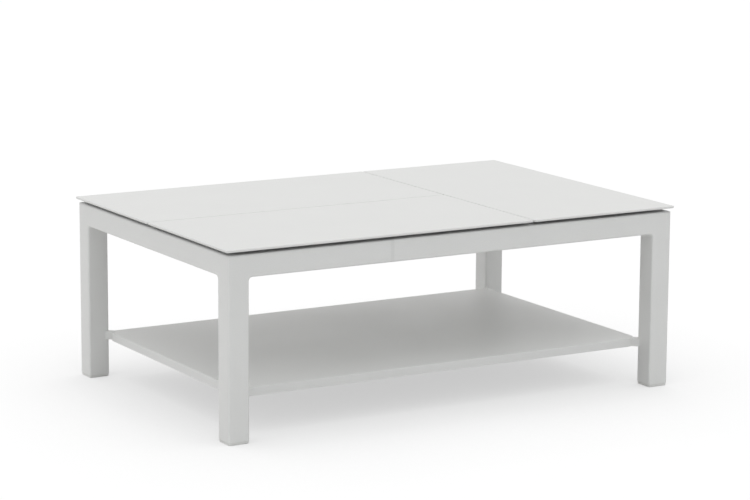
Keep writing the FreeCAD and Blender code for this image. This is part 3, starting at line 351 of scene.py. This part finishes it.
def headOf(points, skew=0.0):
    # the middle of a turned solid's wide end, and the way out of it
    # skew is the solid's turn from the table's axes
    straight = Matrix.Rotation(-skew, 3, "Z")
    moved = [straight @ point for point in points]
    low, high = cornersOf(moved)
    size = high - low
    main = min(range(3), key=lambda k: abs(size[(k + 1) % 3] - size[(k + 2) % 3]))
    middle = (low + high) / 2
    wide = {}
    for end in (low, high):
        near = [point - middle for point in moved
                if abs(point[main] - end[main]) < size[main] * endShare]
        wide[end[main]] = max(math.hypot(point[(main + 1) % 3], point[(main + 2) % 3])
                              for point in near)
    seat, axis = middle.copy(), Vector((0, 0, 0))
    outward = 1 if wide[high[main]] >= wide[low[main]] else -1
    axis[main] = outward
    seat[main] = high[main] if outward > 0 else low[main]
    back = straight.inverted()
    return back @ seat, back @ axis


# The linkages: x along the pivots, y away from the user, from the frame's own joints

class Linkage:
    def __init__(self, leaf):
        joint = next(entry for entry in frame["joints"] if entry["name"] == leaf + "_lift")
        self.leaf = leaf
        self.pivot = Vector(joint["pos_m"])
        self.along = Vector(joint["axis"])
        self.away = Vector((0, 0, 1)).cross(self.along)
        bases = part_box(leaf + "_lift_bases")
        self.half = max(abs((corner - self.pivot).dot(self.along)) for corner in bases)

    def at(self, x, y, z):
        return self.pivot + self.along * x + self.away * y + Vector((0, 0, z))

    def local(self, point):
        reach = point - self.pivot
        return reach.dot(self.along), reach.dot(self.away), reach.z

    def boxOf(self, points):
        return cornersOf([Vector(self.local(point)) for point in points])

    def nodeBox(self, name):
        return self.boxOf([point for solid in solidsOf(name) for point in solid])


linkages = [Linkage(leaf) for leaf in leaves]


# Lift springs: one wire each, wound round the cross tube

spring = {
    "wire": 0.0015,
    "coil": 0.013,        # mean radius
    "pitch": 0.0037,
    "turns": 6,           # and a quarter
    "leg": 0.024,
    "bend": 0.003,        # where the wire turns into the cross tube
    "tang": 0.0034,
    "steps": 28,          # sections in a turn
    "chamfer": 0.0004,
    "sides": 14,
    "bendSteps": 6,
    "legShares": (1, 0.985, 0.7, 0.35),
}


def springLine(linkage):
    low, high = linkage.nodeBox(linkage.leaf + "_lift_spring")
    start = low.x + spring["wire"]
    coil, bend = spring["coil"], spring["bend"]
    path = [(start, -spring["leg"] * share, -coil) for share in spring["legShares"]]
    count = round((spring["turns"] + 0.25) * spring["steps"])
    for i in range(count + 1):
        angle = math.tau * (i / spring["steps"] - 0.25)
        along = start + spring["pitch"] * i / spring["steps"]
        path.append((along, coil * math.cos(angle), coil * math.sin(angle)))
    end = path[-1][0]
    for i in range(1, spring["bendSteps"] + 1):
        angle = math.pi / 2 * i / spring["bendSteps"]
        path.append((end, coil - bend * (1 - math.cos(angle)), bend * math.sin(angle)))
    path.append((end, coil - bend - spring["tang"], bend))
    return [linkage.at(*point) for point in path], start, end


def makeSpring(linkage):
    path, start, end = springLine(linkage)
    radii = [spring["wire"]] * len(path)
    radii[0] -= spring["chamfer"]
    bm = bmesh.new()
    drawn(bm, path, radii, spring["sides"])
    piece = newPiece(linkage.leaf + "_wound_spring", bm, "spring_steel")
    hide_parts(linkage.leaf + "_lift_spring")
    # the wire is joined to no body, and its placing is baked into its mesh
    linkage.at(start + spring["wire"], 0, 0)
    linkage.at(end - spring["wire"], 0, 0)
    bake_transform(piece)


# Screws, bolts and pins with their recesses

def replaceTurned(name, node, profile, body, finish="bolt_steel", skew=None):
    bm = bmesh.new()
    for points in solidsOf(node):
        low, high = cornersOf(points)
        seat, axis = headOf(points, skew((low + high) / 2) if skew else 0.0)
        turned(bm, profile, seat, axis)
    piece = newPiece(name, bm, finish, body)
    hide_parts(node)


baseScrew = {
    "head": 0.0047, "shank": 0.0025, "cone": 0.00218, "length": 0.012,
    "socket": 0.0015, "depth": 0.0016,
    "tip": 0.0007, "tipShare": 0.7,   # length of the point, and what is left of the shank at its end
    "rim": 0.0001, "rimStart": 0.0003, "soft": 0.00025,   # the head's blunt edge
}
leafScrew = {
    "head": 0.004, "height": 0.0024, "shank": 0.002, "length": 0.0186,
    "socket": 0.00125, "depth": 0.0014,
    "tip": 0.0015, "tipShare": 0.5, "underRim": 0.0001, "rim": 0.0002,
    "domeShares": (0.0, 0.3, 0.55, 0.75, 0.88), "crownShare": 0.45, "domeHeightShare": 0.62,
}
shelfBolt = {
    "head": 0.0065, "height": 0.005, "shank": 0.004, "length": 0.0195,
    "socket": 0.003, "depth": 0.003,
    "tip": 0.001, "tipShare": 0.75, "rim": 0.0002, "soft": 0.0006,
}
pin = {
    "head": 0.008, "height": 0.0022, "shank": 0.005, "length": 0.0127,
    "tip": 0.0004, "rim": 0.0002, "dimple": 0.0018, "dimpleShare": 1.25,
    "dimpleLip": 0.00005, "dimpleSide": 0.0003, "dimpleFloor": 0.0005, "pole": 0.0003,
    # depth of each ring of the dome, and its share of the head
    "dome": ((0.0011, 1), (0.00065, 0.965), (0.0003, 0.87), (0.0001, 0.7), (0, 0.48)),
}
recess = {   # shares of a socket's half width
    "mouth": 1.28, "leadDepth": 0.14, "lead": 1.03, "flatDepth": 0.22,
    "drill": 0.8, "point": 0.4,
    "pole": 0.0002,   # a real radius, that closes the point
}


def socketRings(part, top=0.0):
    # a hexagon socket with a small lead-in and a drilled bottom
    half, depth = part["socket"], part["depth"]
    return [(top, half * recess["mouth"], "round"),
            (top - half * recess["leadDepth"], half * recess["lead"], "hex"),
            (top - half * recess["flatDepth"], half, "hex"), (top - depth, half, "hex"),
            (top - depth, half * recess["drill"], "round"),
            (top - depth - half * recess["point"], recess["pole"], "round")]


def baseScrewProfile():
    p = baseScrew
    return [(-p["length"], p["shank"] * p["tipShare"], "round"),
            (-p["length"] + p["tip"], p["shank"], "round"),
            (-p["cone"], p["shank"], "round"), (-p["rimStart"], p["head"] - p["rim"], "round"),
            (-p["rim"], p["head"], "round"), (0, p["head"] - p["soft"], "round")] + socketRings(p)


def leafScrewProfile():
    p = leafScrew
    crown = p["crownShare"]
    dome = [
        (-p["height"] * p["domeHeightShare"] * (1 - lift),
         p["head"] * (crown + (1 - crown) * math.sqrt(1 - lift * lift)), "round")
        for lift in p["domeShares"]
    ]
    return [(-p["length"], p["shank"] * p["tipShare"], "round"),
            (-p["length"] + p["tip"], p["shank"], "round"),
            (-p["height"], p["shank"], "round"), (-p["height"], p["head"] - p["underRim"], "round"),
            (-p["height"] + p["rim"], p["head"], "round")] + dome + socketRings(p, dome[-1][0])


def shelfBoltProfile():
    p = shelfBolt
    return [(-p["length"], p["shank"] * p["tipShare"], "round"),
            (-p["length"] + p["tip"], p["shank"], "round"),
            (-p["height"], p["shank"], "round"), (-p["height"], p["head"] - p["rim"], "round"),
            (-p["height"] + p["rim"], p["head"], "round"), (-p["soft"], p["head"], "round"),
            (0, p["head"] - p["soft"], "round")] + socketRings(p)


def pinProfile():
    # a riveted head, rolled to a low dome with a dimple in the middle
    p = pin
    shank = [(-p["length"], p["shank"] - p["tip"], "round"),
             (-p["length"] + p["tip"], p["shank"], "round"),
             (-p["height"], p["shank"], "round"), (-p["height"], p["head"] - p["rim"], "round"),
             (-p["height"] + p["rim"], p["head"], "round")]
    dome = [(-depth, p["head"] * share, "round") for depth, share in p["dome"]]
    return shank + dome + [(-p["dimpleLip"], p["dimple"] * p["dimpleShare"], "round"),
                           (-p["dimpleSide"], p["dimple"], "round"),
                           (-p["dimpleFloor"], p["pole"], "round")]


def cornerSkew(middle):
    return math.atan2(math.copysign(1, middle.y), math.copysign(1, middle.x))


# Plastic washers in the thin gaps of the linkage

washer = {
    "inner": 0.00515,
    "outer": 0.0084,
    "thickness": 0.0009,
    "edge": 0.0002,
    "frameGap": 0.0045,    # middle of the gap at an arm, from the base plates' backs
    "leafGap": 0.0105,     # and at a leaf bracket
    "reach": 0.03,         # pin heads no further in than this belong to the linkage
    "span": 0.08,          # and on the frame, no further along than this
}


def addWasher(bm, middle, axis):
    inner, outer, edge = washer["inner"], washer["outer"], washer["edge"]
    half = washer["thickness"] / 2
    corners = ((-half, inner + edge), (-half + edge, inner), (half - edge, inner), (half, inner + edge),
               (half, outer - edge), (half - edge, outer), (-half + edge, outer), (-half, outer - edge))
    turned(bm, [(*corner, "round") for corner in corners], middle, axis, joined=True)


def makeWashers():
    # between the base plates and the arms on the frame, between the arms and the brackets on a leaf
    low = bmesh.new()
    for linkage in linkages:
        high = bmesh.new()
        for node, bm, gap in (("arm_pivot_pins", low, washer["frameGap"]),
                              (linkage.leaf + "_pivot_pins", high, washer["leafGap"])):
            for points in solidsOf(node):
                seat, axis = headOf(points)
                x, y, z = linkage.local(seat)
                crosswise = abs(axis.dot(linkage.along)) < 0.5
                if crosswise or not 0 < linkage.half - abs(x) < washer["reach"]:
                    continue
                if node == "arm_pivot_pins" and abs(y) > washer["span"]:
                    continue
                addWasher(bm, linkage.at(math.copysign(linkage.half - gap, x), y, z), linkage.along)
        newPiece(linkage.leaf + "_washers", high, "glide_plastic", linkage.leaf)
    newPiece("frame_washers", low, "glide_plastic", "frame")


# Rubber rests, with a moulded groove and a soft rim

rest = {
    "radius": 0.005,
    "height": 0.008,
    "rim": 0.0008,
    "groove": 0.0004,
    "dish": 0.0004,
    "foot": 0.0003,       # blunt edge at the foot
    "grooveShares": (0.34, 0.38, 0.46, 0.5),
    "dishShares": (0.55, 0.42),
    "rimTurns": (0.0, 0.4, 0.8, 1.2, math.pi / 2),
    "pole": 0.0003,
}


def makeRests():
    r, h = rest["radius"], rest["height"]
    curve = [(h - rest["rim"] * (1 - math.sin(a)), r - rest["rim"] * (1 - math.cos(a)), "round")
             for a in rest["rimTurns"]]
    first, second, third, last = rest["grooveShares"]
    profile = [(0, r - rest["foot"], "round"), (rest["foot"], r, "round"), (h * first, r, "round"),
               (h * second, r - rest["groove"], "round"), (h * third, r - rest["groove"], "round"),
               (h * last, r, "round")] + curve
    brim, dish = rest["dishShares"]
    profile += [(h, r * brim, "round"), (h - rest["dish"], r * dish, "round"),
                (h - rest["dish"], rest["pole"], "round")]
    bm = bmesh.new()
    for points in solidsOf("leaf_rests"):
        low, high = cornersOf(points)
        foot = Vector(((low.x + high.x) / 2, (low.y + high.y) / 2, low.z))
        turned(bm, profile, foot, Vector((0, 0, 1)))
    piece = newPiece("moulded_rests", bm, "rest_rubber", "frame")
    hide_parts("leaf_rests")


# Welds: rippled beads in the inner corners, and ground fillets under the aprons

weld = {
    "size": 0.0036,
    "ripple": 0.0024,
    "lead": 0.0011,       # how far a ripple's middle runs ahead
    "swell": 0.10,
    "taper": 0.003,       # run in which a bead grows at its ends
    "blunt": 0.0006,      # how far into that it starts
    "hollow": 0.16,       # share that its face lies in from round
    "arcSteps": 4,
    "rippleSteps": 4,
    "railTop": 0.006,     # left free at the top of a rail
    "railFoot": 0.0005,
    "leafFoot": 0.0012,   # left free on a leaf's cross rails, below
    "leafTop": 0.0006,    # and above
    "small": 0.003,
}


def bead(bm, start, end, sideA, sideB, size=None):
    # a fillet in the corner between two faces that run away from it along sideA and sideB
    size = size or weld["size"]
    ahead = (end - start).normalized()
    length = (end - start).length
    steps = max(4, round(length / weld["ripple"] * weld["rippleSteps"]))
    rings = []
    for i in range(steps + 1):
        run = length * i / steps
        ease = min(1.0, (run + weld["blunt"]) / weld["taper"],
                   (length - run + weld["blunt"]) / weld["taper"])
        wave = math.cos(math.tau * run / weld["ripple"])
        here = size * math.sqrt(ease) * (1 + weld["swell"] * wave)
        ring = [start + ahead * run]
        for k in range(weld["arcSteps"] + 1):
            angle = math.pi / 2 * k / weld["arcSteps"]
            bulge = 1 - weld["hollow"] * math.sin(2 * angle)
            shift = min(weld["lead"] * math.sin(2 * angle), length - run)
            out = sideA * math.cos(angle) + sideB * math.sin(angle)
            ring.append(start + ahead * (run + shift) + out * here * bulge)
        rings.append(ring)
    skin(bm, rings)


def tubeBead(bm, middle, axis, radius):
    # a flatter rippled bead round a tube that meets a plate
    # axis points along the tube, away from the plate
    across = axis.orthogonal().normalized()
    other = axis.cross(across)
    ripples = round(math.tau * radius / weld["ripple"])
    steps = ripples * 2 * weld["rippleSteps"]
    rings = []
    for i in range(steps):
        angle = math.tau * i / steps
        out = across * math.cos(angle) + other * math.sin(angle)
        here = weld["small"] * (1 + weld["swell"] * 0.5 * math.cos(angle * ripples))
        ring = [middle + out * radius]
        for k in range(weld["arcSteps"] + 1):
            turn = math.pi / 2 * k / weld["arcSteps"]
            bulge = 1 - weld["hollow"] * math.sin(2 * turn)
            face = out * math.cos(turn) + axis * math.sin(turn)
            ring.append(middle + out * radius + face * here * bulge)
        rings.append(ring)
    skin(bm, rings, joined=True)


def railBeads(bm, node, endAxis, ends):
    # up both sides of a frame rail, at each of its ends
    low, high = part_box(node)
    main, side = (0, 1) if endAxis == "x" else (1, 0)
    top = high.z - weld["railTop"]
    for end in ends:
        inward = Vector((0, 0, 0))
        inward[main] = -math.copysign(1, end - (low[main] + high[main]) / 2)
        for face, out in ((low[side], -1), (high[side], 1)):
            sideways = Vector((0, 0, 0))
            sideways[side] = out
            foot = Vector((0, 0, low.z + weld["railFoot"]))
            foot[main], foot[side] = end, face
            bead(bm, foot, Vector((foot.x, foot.y, top)), inward, sideways)


def makeFrameWelds():
    bm = bmesh.new()
    low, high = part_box("cross_rail")
    railBeads(bm, "cross_rail", "y", (low.y, high.y))
    low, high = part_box("centre_rail")
    railBeads(bm, "centre_rail", "x", (low.x, high.x))
    newPiece("frame_rail_welds", bm, "rail_coat", "frame", sharp=60)


cornerWeld = {
    "radius": 0.009,
    "edge": 0.0045,     # rounding of the tubes' own edges
    "sunk": 0.0001,     # back of the piece below the faces
    "past": 0.0003,     # and behind their rounded edges
    "turnSteps": 12,
    "leanSteps": 6,
}


def makeCornerWelds():
    # carries the fillets under the aprons out to the tubes' faces, round like the tubes' own edges
    bm = bmesh.new()
    radius, edge = cornerWeld["radius"], cornerWeld["edge"]
    for node in ("front_left_leg", "front_right_leg", "rear_left_leg", "rear_right_leg"):
        low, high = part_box(node)
        middle = (low + high) / 2
        half = (high.x - low.x) / 2
        for run, side in ((0, 1), (1, 0)):
            inward = Vector((0, 0, 0))
            inward[run] = -math.copysign(1, middle[run])
            centre = middle + inward * (half + radius)
            centre.z = high.z - 2 * half - radius
            for face in (-1, 1):
                across = Vector((0, 0, 0))
                across[side] = face
                rings = []
                for i in range(cornerWeld["turnSteps"] + 1):
                    turn = math.pi / 2 * i / cornerWeld["turnSteps"]
                    out = Vector((0, 0, math.sin(turn))) - inward * math.cos(turn)
                    ring = []
                    for k in range(cornerWeld["leanSteps"] + 1):
                        lean = math.pi / 2 * k / cornerWeld["leanSteps"]
                        ring.append(centre + out * (radius + edge * (1 - math.cos(lean)))
                                    + across * (half - edge + edge * math.sin(lean)))
                    reach = radius + edge + cornerWeld["past"]
                    back = reach / max(math.cos(turn), math.sin(turn))
                    ring.append(centre + out * back + across * (half - cornerWeld["sunk"]))
                    ring.append(centre + out * back + across * (half - edge))
                    rings.append(ring)
                skin(bm, rings)
    newPiece("apron_corner_welds", bm, "frame_coat", "frame")


ribWeld = {"length": 0.028, "inset": 0.05, "count": 4}


def makeRibWelds():
    bm = bmesh.new()
    down = Vector((0, 0, -1))
    for points in solidsOf("shelf_ribs"):
        low, high = cornersOf(points)
        run = high.y - low.y - 2 * ribWeld["inset"] - ribWeld["length"]
        for i in range(ribWeld["count"]):
            y = low.y + ribWeld["inset"] + run * i / (ribWeld["count"] - 1)
            for x, out in ((low.x, -1), (high.x, 1)):
                start = Vector((x, y, high.z))
                bead(bm, start, start + Vector((0, ribWeld["length"], 0)), down, Vector((out, 0, 0)))
    newPiece("shelf_rib_welds", bm, "shelf_coat", "frame", sharp=60)


bracketWeld = {"start": 0.014, "spans": ((0.010, 0.030), (0.050, 0.068))}


def makeLeafWelds(linkage):
    bm = bmesh.new()
    rails = [linkage.boxOf(points) for points in solidsOf(linkage.leaf + "_rails")]
    cross = [pair for pair in rails if pair[1].x - pair[0].x > pair[1].y - pair[0].y]
    side = [pair for pair in rails if pair not in cross]
    for low, high in cross:
        for x, inward in ((low.x, 1), (high.x, -1)):
            for y, out in ((low.y, -1), (high.y, 1)):
                start = linkage.at(x, y, low.z + weld["leafFoot"])
                end = linkage.at(x, y, high.z - weld["leafTop"])
                bead(bm, start, end, linkage.along * inward, linkage.away * out, weld["small"])
    for name in ("left", "right"):
        bracket = "%s_%s_bracket" % (linkage.leaf, name)
        low, high = linkage.nodeBox(bracket)
        inner = high.x if low.x < 0 else low.x
        inward = 1 if low.x < 0 else -1
        foot = side[0][0].z
        for first, last in bracketWeld["spans"]:
            start = linkage.at(inner, low.y + bracketWeld["start"] + first, foot)
            end = linkage.at(inner, low.y + bracketWeld["start"] + last, foot)
            bead(bm, start, end, linkage.along * inward, Vector((0, 0, -1)), weld["small"])
    newPiece(linkage.leaf + "_rail_welds", bm, "rail_coat", linkage.leaf, sharp=60)


def makeArmWelds(linkage):
    bm = bmesh.new()
    low, high = linkage.nodeBox(linkage.leaf + "_cross_tube")
    radius = (high.z - low.z) / 2
    for x, inward in ((low.x, 1), (high.x, -1)):
        tubeBead(bm, linkage.at(x, 0, 0), linkage.along * inward, radius)
    newPiece(linkage.leaf + "_arm_welds", bm, "mechanism_steel", linkage.leaf + "_main_arms", sharp=60)


# Plugs in the open ends of a leaf's side rails

plug = {
    "flange": 0.0012,
    "inset": 0.0003,
    "corner": 0.0022,
    "edge": 0.0005,
    "spigot": 0.009,
    "wall": 0.0016,
    "play": 0.0001,
    "taper": 0.0004,
    "leastCorner": 0.0004,
}


def roundedRing(center, across, above, halfWide, halfHigh, corner, steps=5):
    ring = []
    for sx, sy, first in ((1, 1, 0), (-1, 1, 1), (-1, -1, 2), (1, -1, 3)):
        for k in range(steps + 1):
            angle = math.pi / 2 * (first + k / steps)
            ring.append(center + across * (sx * (halfWide - corner) + corner * math.cos(angle))
                        + above * (sy * (halfHigh - corner) + corner * math.sin(angle)))
    return ring


def makeRailPlugs(linkage):
    bm = bmesh.new()
    up = Vector((0, 0, 1))
    inside, flange, edge = plug["wall"] + plug["play"], plug["flange"], plug["edge"]
    steps = ((-plug["spigot"], inside + plug["taper"]), (0.0, inside), (0.0, plug["inset"]),
             (flange - edge, plug["inset"]), (flange - edge * 0.3, plug["inset"] + edge * 0.35),
             (flange, plug["inset"] + edge))
    for points in solidsOf(linkage.leaf + "_rails"):
        low, high = linkage.boxOf(points)
        if high.x - low.x > high.y - low.y:
            continue
        x, z = (low.x + high.x) / 2, (low.z + high.z) / 2
        wide, tall = (high.x - low.x) / 2, (high.z - low.z) / 2
        for y, out in ((low.y, -1), (high.y, 1)):
            rings = []
            for reach, shrink in steps:
                corner = max(plug["corner"] - shrink, plug["leastCorner"])
                rings.append(roundedRing(linkage.at(x, y + out * reach, z), linkage.along, up,
                                         wide - shrink, tall - shrink, corner))
            skin(bm, rings)
    newPiece(linkage.leaf + "_rail_plugs", bm, "glide_plastic", linkage.leaf)


replaceTurned("socketed_base_screws", "base_screws", baseScrewProfile(), "frame")
replaceTurned("riveted_arm_pins", "arm_pivot_pins", pinProfile(), "frame")
replaceTurned("socketed_shelf_bolts", "shelf_bolts", shelfBoltProfile(), "frame", skew=cornerSkew)
for linkage in linkages:
    leaf = linkage.leaf
    replaceTurned(leaf + "_socketed_screws", leaf + "_screws", leafScrewProfile(), leaf)
    replaceTurned(leaf + "_riveted_pins", leaf + "_pivot_pins", pinProfile(), leaf)
    makeSpring(linkage)
    makeLeafWelds(linkage)
    makeArmWelds(linkage)
    makeRailPlugs(linkage)
makeWashers()
makeRests()
makeFrameWelds()
makeCornerWelds()
makeRibWelds()
print("stage: springs, screws, pins, washers, rests, welds and plugs made")


# Studio: soft boxes round the table, each by its turn from the front, its rise, level and focus

studio = {
    "floorSize": 80.0,
    "bounce": 0.80,       # floor as the table sees it
    "glow": 0.541,        # floor as the camera sees it: its own white,
    "shadowed": 0.147,    # its lit share,
    "contact": 0.335,     # and the share of its glow that ambient occlusion takes away near things: a painted contact shadow
    "contactReach": 0.6,
    "boxes": {
        "overhead": {"turn": 0, "rise": 90, "level": 1.16, "focus": 4, "color": (1, 1, 1)},
        "overhead_lamp": {"turn": 0, "rise": 90, "level": 0.83, "focus": 20, "color": (1, 1, 1)},
        "front": {"turn": 0, "rise": 40, "level": 1.41, "focus": 8, "color": (0.975, 0.995, 1)},
        "front_right": {"turn": 45, "rise": 40, "level": 0.18, "focus": 8, "color": (0.975, 0.995, 1)},
        "front_low": {"turn": 0, "rise": 14, "level": 0.29, "focus": 8, "color": (0.975, 0.995, 1)},
        "back_right_low": {"turn": 135, "rise": 14, "level": 0.95, "focus": 8, "color": (1, 1, 1)},
        "back_low": {"turn": 180, "rise": 14, "level": 1.22, "focus": 8, "color": (1, 1, 1)},
        "back_left_low": {"turn": 225, "rise": 14, "level": 0.84, "focus": 8, "color": (1, 1, 1)},
        "left_low": {"turn": 270, "rise": 14, "level": 1.11, "focus": 8, "color": (0.99, 1, 0.995)},
    },
}


def shownWhite(tree):
    path = tree.nodes.new("ShaderNodeLightPath")
    seen = calc(tree, "MAXIMUM", path.outputs["Is Camera Ray"], path.outputs["Is Glossy Ray"])
    return calc(tree, "MAXIMUM", seen, path.outputs["Is Transmission Ray"])


def softBox(tree, where, box):
    turn, rise = math.radians(box["turn"]), math.radians(box["rise"])
    aim = tree.nodes.new("ShaderNodeVectorMath")
    aim.operation = "DOT_PRODUCT"
    tree.links.new(where, aim.inputs[0])
    flat = math.cos(rise)
    aim.inputs[1].default_value = (math.sin(turn) * flat, -math.cos(turn) * flat, math.sin(rise))
    share = calc(tree, "POWER", calc(tree, "MAXIMUM", aim.outputs["Value"], 0.0), box["focus"])
    light = tree.nodes.new("ShaderNodeBackground")
    light.inputs["Color"].default_value = (*box["color"], 1)
    tree.links.new(calc(tree, "MULTIPLY", share, box["level"]), light.inputs["Strength"])
    return light.outputs["Background"]


def makeSky():
    world = bpy.data.worlds.new("studio_sky")
    bpy.context.scene.world = world
    world.use_nodes = True
    tree = world.node_tree
    tree.nodes.clear()
    where = tree.nodes.new("ShaderNodeTexCoord").outputs["Generated"]
    total = None
    for box in studio["boxes"].values():
        light = softBox(tree, where, box)
        if total is None:
            total = light
            continue
        both = tree.nodes.new("ShaderNodeAddShader")
        tree.links.new(total, both.inputs[0])
        tree.links.new(light, both.inputs[1])
        total = both.outputs["Shader"]
    shown = tree.nodes.new("ShaderNodeBackground")
    shown.inputs["Color"].default_value = (1, 1, 1, 1)
    mix = tree.nodes.new("ShaderNodeMixShader")
    tree.links.new(shownWhite(tree), mix.inputs["Fac"])
    tree.links.new(total, mix.inputs[1])
    tree.links.new(shown.outputs["Background"], mix.inputs[2])
    out = tree.nodes.new("ShaderNodeOutputWorld")
    tree.links.new(mix.outputs["Shader"], out.inputs["Surface"])


def makeFloor():
    half = studio["floorSize"] / 2
    mesh = bpy.data.meshes.new("studio_floor")
    corners = [(-half, -half, 0), (half, -half, 0), (half, half, 0), (-half, half, 0)]
    mesh.from_pydata(corners, [], [(0, 1, 2, 3)])
    floor = bpy.data.objects.new("studio_floor", mesh)
    bpy.context.scene.collection.objects.link(floor)
    material = bpy.data.materials.new("studio_floor_paint")
    material.use_nodes = True
    tree = material.node_tree
    tree.nodes.clear()
    bounce = tree.nodes.new("ShaderNodeBsdfDiffuse")
    bounce.inputs["Color"].default_value = (studio["bounce"],) * 3 + (1,)
    lit = tree.nodes.new("ShaderNodeBsdfDiffuse")
    lit.inputs["Color"].default_value = (studio["shadowed"],) * 3 + (1,)
    # painted contact shadow: ambient occlusion dims the floor's glow near the table
    near = tree.nodes.new("ShaderNodeAmbientOcclusion")
    near.inputs["Distance"].default_value = studio["contactReach"]
    glow = tree.nodes.new("ShaderNodeEmission")
    opened = calc(tree, "MULTIPLY", near.outputs["AO"], studio["contact"])
    tree.links.new(calc(tree, "ADD", opened, studio["glow"]), glow.inputs["Strength"])
    shown = tree.nodes.new("ShaderNodeAddShader")
    tree.links.new(lit.outputs["BSDF"], shown.inputs[0])
    tree.links.new(glow.outputs["Emission"], shown.inputs[1])
    mix = tree.nodes.new("ShaderNodeMixShader")
    tree.links.new(shownWhite(tree), mix.inputs["Fac"])
    tree.links.new(bounce.outputs["BSDF"], mix.inputs[1])
    tree.links.new(shown.outputs["Shader"], mix.inputs[2])
    out = tree.nodes.new("ShaderNodeOutputMaterial")
    tree.links.new(mix.outputs["Shader"], out.inputs["Surface"])
    mesh.materials.append(material)


makeSky()
makeFloor()


# Camera where the photographer stood

camera = {
    "place": (-3.3045, -5.6732, 1.5773),
    "yaw": 0.5282,
    "pitch": -0.1891,
    "roll": 0.0057,
    "lens": 133.16,
    "sensor": 36.0,
}


def makeCamera():
    data = bpy.data.cameras.new("photographer")
    data.lens = camera["lens"]
    data.sensor_width = camera["sensor"]
    data.clip_end = 200.0
    eye = bpy.data.objects.new("photographer", data)
    bpy.context.scene.collection.objects.link(eye)
    yaw, pitch, roll = camera["yaw"], camera["pitch"], camera["roll"]
    ahead = Vector((math.sin(yaw) * math.cos(pitch), math.cos(yaw) * math.cos(pitch), math.sin(pitch)))
    level = Vector((math.cos(yaw), -math.sin(yaw), 0))
    upright = level.cross(ahead)
    right = level * math.cos(roll) + upright * math.sin(roll)
    above = upright * math.cos(roll) - level * math.sin(roll)
    turn = Matrix((right, above, -ahead)).transposed()
    eye.matrix_world = Matrix.Translation(camera["place"]) @ turn.to_4x4()
    bpy.context.scene.camera = eye


makeCamera()
bpy.context.scene.view_settings.view_transform = "Standard"
print("stage: studio and camera set")
